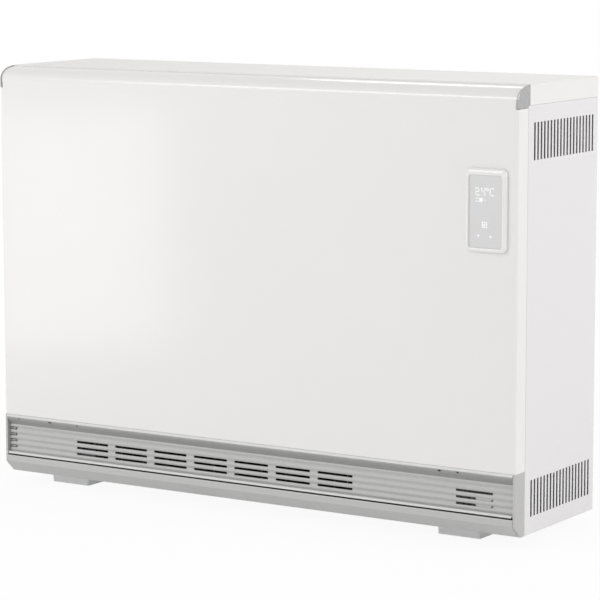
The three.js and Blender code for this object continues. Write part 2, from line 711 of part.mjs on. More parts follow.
const rodY = [-1, 1].map((side) => STORE_MIDDLE_Y + (side * ROD_SPREAD) / 2);
const layerZ = (layer) => STORE_Z + layer * (BRICK_HEIGHT + FIT);
const rodZ = (level) => layerZ(level + 1) - FIT / 2;
const LEVELS = [...Array(LAYERS - 1).keys()];

// One hole for each rod leg through a wall that spans [from, to] along x.
function rodHoles([from, to]) {
  return LEVELS.flatMap((level) => rodY.map((y) => (
    rod("x", ROD_RADIUS + FIT, [from - CUT, to + CUT], [y, rodZ(level)], SMALL_ROUND)
  )));
}

function airSlot(z0, z1) {
  return block(AIR_SLOT, [STORE_Y, STORE_Y + CHANNEL_DEPTH], [z0, z1]);
}

function storeBrick(column, layer) {
  const x = STORE_X + column * (BRICK_WIDTH + FIT);
  const z = layerZ(layer);
  const body = block([x, x + BRICK_WIDTH], [STORE_Y, STORE_Y1], [z, z + BRICK_HEIGHT]);
  const grooves = rodY.flatMap((y) => [z - FIT / 2, z + BRICK_HEIGHT + FIT / 2].map((height) => (
    rod("x", ROD_RADIUS + FIT, [x - CUT, x + BRICK_WIDTH + CUT], [y, height], SMALL_ROUND)
  )));
  const pitch = BRICK_WIDTH / CHANNEL_COUNT;
  const channels = [...Array(CHANNEL_COUNT).keys()].map((i) => {
    const middle = x + (i + 0.5) * pitch;
    const across = [middle - CHANNEL_WIDTH / 2, middle + CHANNEL_WIDTH / 2];
    return block(across, [STORE_Y - CUT, STORE_Y + CHANNEL_DEPTH], [z - CUT, z + BRICK_HEIGHT + CUT]);
  });
  return cut(body, ...grooves, ...channels);
}

// The bend that joins a rod's two legs, a half circle in the air gap left of the bricks.
class RodBend extends THREE.Curve {
  constructor(z) {
    super();
    this.z = z;
  }

  getPoint(t) {
    const angle = Math.PI * t;
    const reach = ROD_SPREAD / 2;
    return new THREE.Vector3(
      STORE_X - reach * Math.sin(angle),
      STORE_MIDDLE_Y - reach * Math.cos(angle),
      this.z,
    );
  }
}

function heatingRod(level) {
  const z = rodZ(level);
  const span = [STORE_X - ROD_OVERLAP, BAY_X + ROD_TAIL];
  const legs = rodY.map((y) => rod("x", ROD_RADIUS, span, [y, z], ROD_SIDES));
  const circle = arc([0, 0], ROD_RADIUS, ROD_RADIUS, 0, 360 - 360 / ROD_SIDES, ROD_SIDES - 1);
  const shape = new THREE.Shape(circle.map(([a, b]) => new THREE.Vector2(a, b)));
  const bend = new THREE.ExtrudeGeometry(shape, { steps: ROD_BEND_STEPS, extrudePath: new RodBend(z) });
  return join(solid(bend), ...legs);
}

function coreCase() {
  const outer = block([CASE_X, CASE_X1], [CASE_Y + CASE_SHEET, CASE_Y1], [CASE_Z, CASE_Z1]);
  const inner = block(
    [CASE_X + CASE_SHEET, CASE_X1 - CASE_SHEET],
    [CASE_Y, CASE_Y1 - CASE_SHEET],
    [CASE_Z + CASE_SHEET, CASE_Z1 - CASE_SHEET],
  );
  const slot = airSlot(CASE_Z - CUT, CASE_Z + CASE_SHEET + CUT);
  return cut(outer, inner, slot, ...rodHoles([CASE_X1 - CASE_SHEET, CASE_X1]));
}

const STORE_SPAN_X = [CASE_INNER_X, CASE_INNER_X1];
const STORE_SPAN_Y = [CASE_INNER_Y, CASE_INNER_Y1];
const BRICK_SPAN_Y = [STORE_Y, STORE_Y1];
const BRICK_SPAN_Z = [STORE_Z, STORE_Z1];
const LEFT_PACKING = [CASE_INNER_X, CASE_INNER_X + SIDE_INSULATION];
const RIGHT_PACKING = [STORE_X1 + FIT, CASE_INNER_X1];
const PACKING_BOTTOM_Z = [CASE_INNER_Z, CASE_INNER_Z + INSULATION];
const PACKING_TOP_Z = [STORE_Z1 + FIT, CASE_INNER_Z1];
const PACKING_FRONT_Y = [CASE_INNER_Y, CASE_INNER_Y + INSULATION];
const PACKING_REAR_Y = [STORE_Y1 + FIT, CASE_INNER_Y1];

for (let layer = 0; layer < LAYERS; layer += 1) {
  for (let column = 0; column < COLUMNS; column += 1) {
    place(`store_brick_${layer + 1}_${column + 1}`, brick, storeBrick(column, layer));
  }
}
for (const level of LEVELS) {
  place(`heating_rod_${level + 1}`, rodSteel, heatingRod(level));
}
place("core_case", steel, coreCase());
place("core_cover", steel, block(
  [CASE_X, CASE_X1],
  [CASE_Y, CASE_Y + CASE_SHEET],
  [CASE_Z, CASE_Z1],
));
place("insulation_bottom", board, cut(
  block(STORE_SPAN_X, STORE_SPAN_Y, PACKING_BOTTOM_Z),
  airSlot(PACKING_BOTTOM_Z[0] - CUT, PACKING_BOTTOM_Z[1] + CUT),
));
place("insulation_top", board, block(STORE_SPAN_X, STORE_SPAN_Y, PACKING_TOP_Z));
place("insulation_front", board, block(STORE_SPAN_X, PACKING_FRONT_Y, BRICK_SPAN_Z));
place("insulation_rear", board, block(STORE_SPAN_X, PACKING_REAR_Y, BRICK_SPAN_Z));
place("insulation_left", board, block(LEFT_PACKING, BRICK_SPAN_Y, BRICK_SPAN_Z));
place("insulation_right", board, cut(
  block(RIGHT_PACKING, BRICK_SPAN_Y, BRICK_SPAN_Z),
  ...rodHoles(RIGHT_PACKING),
));

// ---- fan and air flap ----

// A channel section that carries the heat store; its web beside the fan is the bearing plate.
function fanStand(side) {
  const web = side > 0 ? FAN_X1 : FAN_X0;
  const away = web + side * STAND_WIDTH;
  const line = [
    [away, BASE_TOP],
    [web, BASE_TOP],
    [web, CASE_Z],
    [away, CASE_Z],
  ];
  const outline = sheetOutline(side > 0 ? line.reverse() : line, STAND_SHEET);
  const reach = [web - STAND_SHEET * 2, web + STAND_SHEET * 2];
  const hole = side > 0 ? SHAFT_RADIUS + FIT : BUSH_RADIUS + FIT;
  return cut(
    prism("y", outline, [OUTLET_FRONT, CASE_Y1]),
    rod("x", hole, reach, FAN_AXIS),
    rod("x", FLAP_ROD_RADIUS + FIT, reach, [FLAP_Y, FLAP_Z], SMALL_ROUND),
  );
}

function fanScroll() {
  const line = [];
  for (let i = 0; i <= SCROLL_STEPS; i += 1) {
    const turn = i / SCROLL_STEPS;
    const angle = THREE.MathUtils.degToRad(SCROLL_START + (SCROLL_END - SCROLL_START) * turn);
    const radius = ROTOR_RADIUS + SCROLL_TIGHT + (SCROLL_OPEN - SCROLL_TIGHT) * turn;
    line.push([FAN_Y + radius * Math.cos(angle), FAN_Z + radius * Math.sin(angle)]);
  }
  line.push([OUTLET_FRONT, OUTLET_FLOOR_Z]);
  return prism("x", sheetOutline(line, DUCT_SHEET), [FAN_X0 + FIT, FAN_X1 - FIT]);
}

// The duct from the heat store's air slot down to the outlet, with the outlet's roof in front and
// the fan's cut-off lip behind.
function outletDuct() {
  const span = [FAN_X0 + FIT, FAN_X1 - FIT];
  const top = CASE_Z - FIT;
  const shaft = block(span, [DUCT_FRONT, DUCT_BACK], [OUTLET_ROOF_Z, top]);
  const hollow = block(
    [span[0] + DUCT_SHEET, span[1] - DUCT_SHEET],
    [DUCT_FRONT + DUCT_SHEET, DUCT_BACK - DUCT_SHEET],
    [OUTLET_ROOF_Z - CUT, top + CUT],
  );
  const roof = block(
    span,
    [OUTLET_FRONT, DUCT_FRONT + DUCT_SHEET],
    [OUTLET_ROOF_Z, OUTLET_ROOF_Z + DUCT_SHEET],
  );
  const across = [span[0] - CUT, span[1] + CUT];
  const rodHole = rod("x", FLAP_ROD_RADIUS + FIT, across, [FLAP_Y, FLAP_Z], SMALL_ROUND);
  return cut(join(cut(shaft, hollow), roof), rodHole);
}

function fanRotor() {
  const [x0, x1] = ROTOR_SPAN;
  const middle = (x0 + x1) / 2;
  const discs = [x0, middle - ROTOR_DISC / 2, x1 - ROTOR_DISC].map((x) => (
    rod("x", ROTOR_RADIUS, [x, x + ROTOR_DISC], FAN_AXIS)
  ));
  const shafts = [
    [x0 - ROTOR_END_GAP - BUSH_LENGTH, x0 + ROTOR_DISC / 2],
    [x1 - ROTOR_DISC / 2, x1 + ROTOR_END_GAP + MOTOR_LENGTH / 2],
  ].map((span) => rod("x", SHAFT_RADIUS, span, FAN_AXIS, MEDIUM_ROUND));
  const blades = [];
  for (let i = 0; i < BLADES; i += 1) {
    const angle = (2 * Math.PI * i) / BLADES;
    const line = [
      [ROTOR_RADIUS - BLADE_DEPTH, angle],
      [ROTOR_RADIUS - BLADE_SHEET, angle + BLADE_LEAN],
    ].map(([radius, turn]) => [FAN_Y + radius * Math.cos(turn), FAN_Z + radius * Math.sin(turn)]);
    blades.push(prism("x", sheetOutline(line, BLADE_SHEET), [x0 + ROTOR_DISC / 2, x1 - ROTOR_DISC / 2]));
  }
  return join(...discs, ...shafts, ...blades);
}

function shaftBore([from, to]) {
  return rod("x", SHAFT_RADIUS + FIT, [from - CUT, to + CUT], FAN_AXIS, MEDIUM_ROUND);
}

function fanMotor() {
  const start = FAN_X1 + STAND_SHEET + FIT;
  const end = start + MOTOR_LENGTH;
  const body = rod("x", MOTOR_RADIUS, [start + MOTOR_NECK, end], FAN_AXIS);
  const neck = rod("x", MOTOR_NECK_RADIUS, [start, start + MOTOR_NECK + CUT], FAN_AXIS);
  return cut(join(body, neck), shaftBore([start, end]));
}

function fanBush() {
  const end = FAN_X0 + ROTOR_END_GAP / 2;
  const span = [end - BUSH_LENGTH, end];
  return cut(rod("x", BUSH_RADIUS, span, FAN_AXIS), shaftBore(span));
}

function airFlap() {
  const inside = [AIR_SLOT[0] + FIT, AIR_SLOT[1] - FIT];
  const end = FAN_X1 + STAND_SHEET + ACTUATOR_SIZE / 2;
  const hinge = rod("x", FLAP_ROD_RADIUS, [FAN_X0 - STAND_SHEET * 3, end], [FLAP_Y, FLAP_Z], SMALL_ROUND);
  const plate = block(
    inside,
    [FLAP_Y - FLAP_SHEET / 2, FLAP_Y + FLAP_SHEET / 2],
    [FLAP_Z - FLAP_LENGTH, FLAP_Z],
  );
  return join(hinge, plate);
}

function flapActuator() {
  const start = FAN_X1 + STAND_SHEET + FIT;
  const box = block(
    [start, start + ACTUATOR_SIZE],
    [FLAP_Y - ACTUATOR_SIZE / 2, FLAP_Y + ACTUATOR_SIZE / 2],
    [CASE_Z - STAND_SHEET - FIT - ACTUATOR_SIZE, CASE_Z - STAND_SHEET - FIT],
  );
  const socket = [start - CUT, start + ACTUATOR_SIZE - ACTUATOR_BACK];
  return cut(box, rod("x", FLAP_ROD_RADIUS + FIT, socket, [FLAP_Y, FLAP_Z], SMALL_ROUND));
}

place("fan_stand_left", steel, fanStand(-1));
place("fan_stand_right", steel, fanStand(1));
place("fan_scroll", steel, fanScroll());
place("outlet_duct", steel, outletDuct());
place("fan_rotor", black, fanRotor());
place("fan_motor", steel, fanMotor());
place("fan_bush", black, fanBush());
place("air_flap", steel, airFlap());
place("flap_actuator", black, flapActuator());

// ---- electrics ----

function partition() {
  const wall = block(
    [CASE_X1 + FIT, BAY_X],
    [BASE_FRONT + BASE_SHEET + FIT, BASE_BACK - BASE_SHEET - FIT],
    [BASE_TOP, CASE_Z1],
  );
  return cut(wall, ...rodHoles([CASE_X1 + FIT, BAY_X]));
}

function powerBoard() {
  const face = BAY_X + FIT + STANDOFF;
  const root = face + PCB / 2;
  const y0 = STORE_Y + PCB_SETBACK;
  const y1 = y0 + PCB_LENGTH;
  const z1 = rodZ(0) - PCB_DROP;
  const z0 = z1 - PCB_HEIGHT;
  const pillar = (at) => rod("x", STANDOFF, [BAY_X + FIT, root], at, STANDOFF_SIDES);
  const pillars = [y0 + STANDOFF_INSET, y1 - STANDOFF_INSET].flatMap((y) => (
    [z0 + STANDOFF_INSET, z1 - STANDOFF_INSET].map((z) => pillar([y, z]))
  ));
  const relays = [...Array(RELAY_COUNT).keys()].map((i) => {
    const y = y0 + RELAY_FIRST + i * RELAY_PITCH;
    const up = [z1 - RELAY_INSET - RELAY_HEIGHT, z1 - RELAY_INSET];
    return block([root, face + RELAY_DEPTH], [y, y + RELAY_LENGTH], up);
  });
  const sink = block(
    [root, face + SINK_DEPTH],
    [y0 + SINK_MARGIN, y1 - SINK_MARGIN],
    [z0 + SINK_INSET, z0 + SINK_INSET + SINK_HEIGHT],
  );
  return join(block([face, face + PCB], [y0, y1], [z0, z1]), ...pillars, ...relays, sink);
}

function terminalBlock() {
  const x1 = BASE_HALF - TERMINAL_SIDE_GAP;
  const x0 = x1 - TERMINAL_LENGTH;
  const y0 = BASE_FRONT + TERMINAL_SETBACK;
  const top = BASE_TOP + TERMINAL_HEIGHT;
  const body = block([x0, x1], [y0, y0 + TERMINAL_DEPTH], [BASE_TOP + FIT, top]);
  const wells = [...Array(TERMINAL_COUNT).keys()].map((i) => {
    const at = [x0 + ((i + 0.5) * TERMINAL_LENGTH) / TERMINAL_COUNT, y0 + TERMINAL_DEPTH / 2];
    return rod("z", TERMINAL_WELL_RADIUS, [top - TERMINAL_WELL, top + CUT], at, SMALL_ROUND);
  });
  return cut(body, ...wells);
}

// The cut-out sits between the two upper heating rods.
const CUTOUT_AT = [STORE_MIDDLE_Y, (rodZ(LAYERS - 3) + rodZ(LAYERS - 2)) / 2 + CUTOUT_LIFT];
const CUTOUT_FACE = BAY_X + FIT + CUTOUT_HEIGHT;

function cutoutBody() {
  const disc = rod("x", CUTOUT_RADIUS, [BAY_X + FIT, CUTOUT_FACE], CUTOUT_AT);
  const bottom = CUTOUT_FACE - BUTTON_SEAT - BUTTON_TRAVEL;
  return cut(disc, rod("x", BUTTON_RADIUS + FIT, [bottom, CUTOUT_FACE + CUT], CUTOUT_AT, MEDIUM_ROUND));
}

function resetButton() {
  const span = [CUTOUT_FACE - BUTTON_SEAT, CUTOUT_FACE + BUTTON_PROUD];
  return rod("x", BUTTON_RADIUS, span, CUTOUT_AT, MEDIUM_ROUND);
}

function cableGland() {
  const start = DEPTH - GLAND_LENGTH;
  const barrel = rod("y", GLAND_RADIUS, [start, REAR_FACE + SHEET], GLAND_AT);
  const flange = rod("y", GLAND_FLANGE, [REAR_FACE + FIT, DEPTH], GLAND_AT);
  return cut(join(barrel, flange), rod("y", GLAND_BORE, [start - CUT, DEPTH + CUT], GLAND_AT));
}

place("partition", steel, partition());
place("power_board", circuit, powerBoard());
place("terminal_block", white, terminalBlock());
place("cutout_body", black, cutoutBody());
place("reset_button", red, resetButton());
place("cable_gland", black, cableGland());

heater.position.y = -(DEPTH - CONTROL_PROUD) / 2;

export default heater;
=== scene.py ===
"""Looks of the storage heater: its pieces, their materials, the studio and the camera.

The object's lengths are millimetres, written as the frame has them: x from the middle, y back
from the front face and z up from the floor. at() turns them into the frame's metres. The studio's
lengths are metres.
"""

import math

import bmesh
import bpy
from mathutils import Matrix, Vector

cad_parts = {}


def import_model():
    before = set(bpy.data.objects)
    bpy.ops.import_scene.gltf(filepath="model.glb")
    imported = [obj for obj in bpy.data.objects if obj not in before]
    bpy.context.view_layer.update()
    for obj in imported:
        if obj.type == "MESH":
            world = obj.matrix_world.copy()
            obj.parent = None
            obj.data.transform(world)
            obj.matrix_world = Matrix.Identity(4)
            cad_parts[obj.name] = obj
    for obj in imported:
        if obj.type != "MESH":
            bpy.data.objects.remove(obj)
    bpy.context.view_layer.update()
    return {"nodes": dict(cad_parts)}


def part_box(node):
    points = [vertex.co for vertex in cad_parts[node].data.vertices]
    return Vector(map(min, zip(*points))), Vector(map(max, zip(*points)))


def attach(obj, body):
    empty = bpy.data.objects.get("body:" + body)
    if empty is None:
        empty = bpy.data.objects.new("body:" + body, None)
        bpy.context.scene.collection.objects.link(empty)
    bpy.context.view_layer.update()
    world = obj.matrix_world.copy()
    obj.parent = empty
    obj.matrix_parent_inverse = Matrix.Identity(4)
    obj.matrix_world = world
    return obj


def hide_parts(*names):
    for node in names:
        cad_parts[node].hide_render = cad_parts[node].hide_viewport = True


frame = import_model()

MM = 0.001
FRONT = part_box("front_panel")[0].y
SIDES = {-1: "left", 1: "right"}
WHITE = (1, 1, 1, 1)


def at(x, y, z):
    """A point given in millimetres from the front face, in the frame's metres."""
    return Vector((x * MM, y * MM + FRONT, z * MM))


def span(node):
    """A CAD node's lowest and highest corners, in millimetres from the front face."""
    low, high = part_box(node)
    return [(c.x / MM, (c.y - FRONT) / MM, c.z / MM) for c in (low, high)]


# ---- sizes taken from the frame ----
HALF = span("top_cover")[1][0]
HEIGHT = span("top_cover")[1][2]
DEPTH = span("top_cover")[1][1]
LID_FRONT = span("top_cover")[0][1]
LID_EDGE_Z = span("top_cover")[0][2]
ROLL_MIDDLE = span("front_panel")[1][1]
ROLL_TOP = span("front_panel")[1][2]
PANEL_BOTTOM = span("front_panel")[0][2]
CAP_BOTTOM = span("roll_cap_right")[0][2]
CAP_PROUD = -span("roll_cap_right")[0][1]
WRAP = span("grille_end_right")[1][1]
FLOOR_GAP = span("skirt_trim")[0][2]
SHELF_Z = span("skirt_trim")[1][2]
RAIL_BOTTOM = span("grille_rail")[0][2]
RAIL_TOP = span("grille_rail")[1][2]
SIDE_FRONT = span("side_panel_right")[0][1]

# ---- sizes of what the frame doesn't give ----
SHEET = 1.2
FIT = 0.3
HAIRLINE = 0.2
FOLD = 12.0
FOLD_RADIUS = 2.2
RIM_RADIUS = 0.3
SHEET_EDGE = 0.25
SHARP_ANGLE = math.radians(38)
BEVEL_ANGLE = math.radians(40)

# The roll is a quarter of an ellipse. The caps' inner edge leans outwards as it rises.
ROLL_RISE = 19.5
ROLL_START = ROLL_TOP - ROLL_RISE
ROLL_BACK = LID_FRONT - HAIRLINE
ROLL_STEPS = 36
PANEL_FOLD_RADIUS = 3.2
PANEL_BEND = 0.5
PANEL_RETURN = 25.0
CAP_WIDTH = 4.0
CAP_INSIDE = HALF - CAP_WIDTH
CAP_LEAN = 2.8
CAP_LEAN_POWER = 0.7
CAP_LEAN_BELOW = 4
CAP_CORNER = 1.6
CAP_EDGE = 2.6
CAP_STEPS = 28

VENT_PITCH = 10.1
VENT_WIDTH = 5.0
VENT_HEIGHT = 54.0
VENT_COUNT = 19
VENT_FIRST_Y = 50.0
VENT_FLOORS = (44.3, 562.5)

CHEEK_WIDTH = 3.7
SURROUND_HALF = HALF - CHEEK_WIDTH
SURROUND_WALL = 2.0
SKIRT_DROP = 1.5
SKIRT_TOP = SHELF_Z - SKIRT_DROP
SKIRT_BREAK_Z = 37.0
SKIRT_SETBACK = 19.0
RAIL_NOSE = 1.4

# The hinge is the (y, z) of the axis that the grille tilts about.
HINGE = (2.7, 52.6)
PIN_RADIUS = 1.0
PIN_LENGTH = 8.0
GRILLE_FRONT = 1.0
GRILLE_WALL = 1.8
RIB_CREST_Y = 6.2
RIB_VALLEY_Y = 8.0
RIB_PITCH = 9.65
RIB_COUNT = 5
RIB_TOP_Z = 99.9
BROW_DROP = 0.7
BROW_TURN_Z = 105.6
BROW_RADIUS = 7.5
BROW_SHADE_REACH = 2.4
LIP_TOP_Y = 1.6
LIP_TOP_Z = 53.4
LIP_BOTTOM_Y = 0.3
LIP_BOTTOM_Z = 49.6
LIP_CUT_LOW = 2.6
LIP_CUT_HIGH = 0.9
LIP_CUT_Z = 57.5

# Notch lengths are given by side. Clip holes are (x, half width). The blank is the plate behind
# the right group of slots.
SLOT_HEIGHT = 3.7
SLOT_LENGTH = 61.3
SLOT_CORNER = 0.8
SLOT_STARTS = [-326.5 + 75.1 * group for group in range(7)] + [361.7]
SLOT_ROWS = (2, 3, 4)
NOTCH_LENGTHS = {-1: 13.0, 1: 2.5}
NOTCH_HEIGHT = 4.4
TONGUE_LENGTH = 11.8
TONGUE_HEIGHT = 2.9
CLIP_HOLES = ((-436.6, 1.3), (-374.8, 3.0), (-320.6, 1.6), (337.5, 2.7), (367.8, 1.9))
CLIP_HOLE_Z = 107.3
CLIP_HOLE_RISE = 1.1
BLANK_X = (394, 420)
BLANK_Z = (56.5, 76)
BLANK_DEPTH = 1.1

CONTROL_CORNER = 9.0
OPENING_CORNER = 4.0
SIGNS_AT = (415.5, 492.5)
WINDOW_MARGIN = 10.0
FOOT_CORNER = 3.0


# ---- outlines ----

def arc(centre, radius, start, end, steps):
    """Points of an arc in a plane, from one angle to another in degrees."""
    points = []
    for i in range(steps + 1):
        angle = math.radians(start + (end - start) * i / steps)
        points.append((centre[0] + radius * math.cos(angle), centre[1] + radius * math.sin(angle)))
    return points


def circle(centre, radius, sides=24):
    """Points round a circle in a plane."""
    return arc(centre, radius, 0, 360 - 360 / sides, sides - 1)


def rounded(corners, steps=6, closed=True):
    """An outline whose corners (a, b, radius) are rounded by arcs of 'steps' parts."""
    points = []
    count = len(corners)
    for i, (a, b, radius) in enumerate(corners):
        end = not closed and i in (0, count - 1)
        if radius == 0 or end:
            points.append((a, b))
            continue
        here = Vector((a, b))
        before = (Vector(corners[i - 1][:2]) - here).normalized()
        after = (Vector(corners[(i + 1) % count][:2]) - here).normalized()
        half_angle = before.angle(after) / 2
        reach = radius / math.tan(half_angle)
        centre = here + (before + after).normalized() * (radius / math.sin(half_angle))
        first, last = here + before * reach, here + after * reach
        start = (first - centre).angle_signed(Vector((1, 0)))
        turn = (last - centre).angle_signed(first - centre)
        for step in range(steps + 1):
            angle = start + turn * step / steps
            reach_x, reach_y = radius * math.cos(angle), radius * math.sin(angle)
            points.append((centre.x + reach_x, centre.y + reach_y))
    return points


def rounded_box(a, b, radius, steps=8):
    """A closed outline round the spans a and b, with its corners rounded."""
    corners = [(a[0], b[0]), (a[1], b[0]), (a[1], b[1]), (a[0], b[1])]
    return rounded([(*corner, radius) for corner in corners], steps)


# ---- meshes ----

def spot(axis, a, b, along):
    """The point with outline coordinates (a, b) at a distance along an axis."""
    return {"x": at(along, a, b), "y": at(a, along, b), "z": at(a, b, along)}[axis]


def prism(outline, axis, ends):
    """A closed body: an outline carried along an axis between two ends."""
    mesh = bmesh.new()
    rings = [[mesh.verts.new(spot(axis, a, b, end)) for a, b in outline] for end in ends]
    count = len(outline)
    for i in range(count):
        j = (i + 1) % count
        mesh.faces.new((rings[0][i], rings[0][j], rings[1][j], rings[1][i]))
    mesh.faces.new(rings[0])
    mesh.faces.new(list(reversed(rings[1])))
    bmesh.ops.recalc_face_normals(mesh, faces=mesh.faces)
    return mesh


def loft(rings, close_ends=False):
    """A skin over rings of as many points each, given as vectors in the frame's metres."""
    mesh = bmesh.new()
    made = [[mesh.verts.new(point) for point in ring] for ring in rings]
    for lower, upper in zip(made, made[1:]):
        count = len(lower)
        for i in range(count):
            j = (i + 1) % count
            mesh.faces.new((lower[i], lower[j], upper[j], upper[i]))
    if close_ends:
        mesh.faces.new(made[0])
        mesh.faces.new(list(reversed(made[-1])))
    bmesh.ops.recalc_face_normals(mesh, faces=mesh.faces)
    return mesh


def merged(*meshes):
    """One bmesh that holds all of these."""
    whole = bmesh.new()
    for mesh in meshes:
        data = bpy.data.meshes.new("part")
        mesh.to_mesh(data)
        mesh.free()
        whole.from_mesh(data)
        bpy.data.meshes.remove(data)
    return whole


def finish(name, mesh, material, body="cabinet", replaces=(), bevel=RIM_RADIUS, segments=2):
    """Turns a bmesh into a piece that rides on a body, with softened edges."""
    data = bpy.data.meshes.new(name)
    mesh.to_mesh(data)
    mesh.free()
    piece = bpy.data.objects.new(name, data)
    bpy.context.scene.collection.objects.link(piece)
    data.materials.append(material)
    data.shade_smooth()
    if bevel:
        add_bevel(piece, bevel, segments)
    else:
        data.set_sharp_from_angle(angle=SHARP_ANGLE)
        even_shading(piece)
    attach(piece, body)
    if replaces:
        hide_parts(*replaces)
    return piece


def add_bevel(piece, width, segments):
    """Rounds the edges that turn by more than BEVEL_ANGLE, by a width in millimetres."""
    softened = piece.modifiers.new("soft_edges", "BEVEL")
    softened.width = width * MM
    softened.segments = segments
    softened.limit_method = "ANGLE"
    softened.angle_limit = BEVEL_ANGLE
    softened.use_clamp_overlap = True
    softened.harden_normals = True
    even_shading(piece)


def even_shading(piece):
    """Lets the large faces set the shading at the edges."""
    weighted = piece.modifiers.new("even_shading", "WEIGHTED_NORMAL")
    weighted.keep_sharp = True


def thicken(piece, thickness):
    """Gives a folded surface the thickness of its sheet, on the inside."""
    sheet = piece.modifiers.new("sheet", "SOLIDIFY")
    sheet.thickness = thickness * MM
    sheet.offset = -1
    sheet.use_even_offset = True
    piece.modifiers.move(len(piece.modifiers) - 1, 0)


def cut_out(mesh, cutters):
    """The first bmesh without what the others fill, by an exact boolean."""
    holder = bpy.data.objects.new("whole", bpy.data.meshes.new("whole"))
    tool = bpy.data.objects.new("tool", bpy.data.meshes.new("tool"))
    mesh.to_mesh(holder.data)
    mesh.free()
    merged_tool = merged(*cutters)
    merged_tool.to_mesh(tool.data)
    merged_tool.free()
    for made in (holder, tool):
        bpy.context.scene.collection.objects.link(made)
    boolean = holder.modifiers.new("cut", "BOOLEAN")
    boolean.operation = "DIFFERENCE"
    boolean.solver = "EXACT"
    boolean.object = tool
    depsgraph = bpy.context.evaluated_depsgraph_get()
    data = bpy.data.meshes.new_from_object(holder.evaluated_get(depsgraph))
    result = bmesh.new()
    result.from_mesh(data)
    for made in (holder, tool):
        bpy.data.objects.remove(made)
    if not result.faces:
        raise RuntimeError("a cut left nothing of the mesh")
    return result


# ---- materials ----

def tint(colour, share):
    """A colour made darker or lighter by a factor."""
    return tuple(share * part for part in colour)


class Finish:
    """A Principled material with its noise helpers, in object coordinates."""

    def __init__(self, name, colour, roughness, metallic=0.0, specular=0.5):
        self.material = bpy.data.materials.new(name)
        self.material.use_nodes = True
        self.nodes = self.material.node_tree.nodes
        self.links = self.material.node_tree.links
        self.shader = self.nodes["Principled BSDF"]
        self.shader.inputs["Base Color"].default_value = (*colour, 1)
        self.shader.inputs["Roughness"].default_value = roughness
        self.shader.inputs["Metallic"].default_value = metallic
        self.shader.inputs["Specular IOR Level"].default_value = specular
        self.coordinates = self.nodes.new("ShaderNodeTexCoord").outputs["Object"]
        self.height = None

    def noise(self, scale, detail=2.0, stretch=(1, 1, 1)):
        """Noise with 'scale' features to the metre, drawn out along the axes by 'stretch'."""
        mapping = self.nodes.new("ShaderNodeMapping")
        mapping.inputs["Scale"].default_value = stretch
        texture = self.nodes.new("ShaderNodeTexNoise")
        texture.inputs["Scale"].default_value = scale
        texture.inputs["Detail"].default_value = detail
        self.links.new(self.coordinates, mapping.inputs["Vector"])
        self.links.new(mapping.outputs["Vector"], texture.inputs["Vector"])
        return texture.outputs["Fac"]

    def cells(self, scale, feature="F1", output="Distance"):
        """Cells of a Voronoi pattern, 'scale' of them to the metre."""
        texture = self.nodes.new("ShaderNodeTexVoronoi")
        texture.feature = feature
        texture.inputs["Scale"].default_value = scale
        self.links.new(self.coordinates, texture.inputs["Vector"])
        return texture.outputs[output]

    def mapped(self, value, low, high, from_low=0.3, from_high=0.7):
        """Maps a texture's middle range to [low, high]."""
        node = self.nodes.new("ShaderNodeMapRange")
        node.inputs["From Min"].default_value = from_low
        node.inputs["From Max"].default_value = from_high
        node.inputs["To Min"].default_value = low
        node.inputs["To Max"].default_value = high
        self.links.new(value, node.inputs["Value"])
        return node.outputs["Result"]

    def colours(self, value, first, second, from_low=0.3, from_high=0.7):
        """Base colour that runs from one colour to another with a texture."""
        ramp = self.nodes.new("ShaderNodeValToRGB")
        ramp.color_ramp.elements[0].position = from_low
        ramp.color_ramp.elements[0].color = (*first, 1)
        ramp.color_ramp.elements[1].position = from_high
        ramp.color_ramp.elements[1].color = (*second, 1)
        self.links.new(value, ramp.inputs["Fac"])
        self.links.new(ramp.outputs["Color"], self.shader.inputs["Base Color"])

    def roughness(self, value, low, high):
        """Roughness that runs between two values with a texture."""
        self.links.new(self.mapped(value, low, high), self.shader.inputs["Roughness"])

    def bump(self, value, depth, strength=1.0):
        """Relief of a depth in millimetres. Each call adds to the one before."""
        node = self.nodes.new("ShaderNodeBump")
        node.inputs["Strength"].default_value = strength
        node.inputs["Distance"].default_value = depth * MM
        self.links.new(value, node.inputs["Height"])
        if self.height:
            self.links.new(self.height, node.inputs["Normal"])
        self.height = node.outputs["Normal"]
        self.links.new(self.height, self.shader.inputs["Normal"])

    def coat(self, weight, roughness):
        """A clear coat over the rest."""
        self.shader.inputs["Coat Weight"].default_value = weight
        self.shader.inputs["Coat Roughness"].default_value = roughness


def enamel(name, colour, roughness):
    """Baked enamel: nearly even white with the faint orange peel of a sprayed coat."""
    paint = Finish(name, colour, roughness)
    paint.colours(paint.noise(3.0, 3), tint(colour, 0.985), colour)
    paint.roughness(paint.noise(30.0, 3), roughness - 0.02, roughness + 0.03)
    paint.bump(paint.noise(420.0, 2), 0.006)
    return paint.material


def silver_paint(name, colour, roughness, metallic=0.35):
    """Silver lacquer with its fine metal flake."""
    paint = Finish(name, colour, roughness, metallic)
    flake = paint.cells(3200.0, output="Color")
    paint.colours(flake, tint(colour, 0.93), tint(colour, 1.05))
    paint.roughness(paint.noise(60.0, 3), roughness - 0.04, roughness + 0.05)
    paint.bump(paint.noise(900.0, 2), 0.008)
    return paint.material


def moulded(name, colour, roughness, grain=0.012, specular=0.5):
    """Moulded plastic with a fine spark-eroded grain."""
    plastic = Finish(name, colour, roughness, specular=specular)
    plastic.colours(plastic.noise(14.0, 4), tint(colour, 0.96), colour)
    plastic.roughness(plastic.noise(120.0, 3), roughness - 0.05, roughness + 0.06)
    plastic.bump(plastic.noise(2400.0, 3), grain)
    return plastic.material


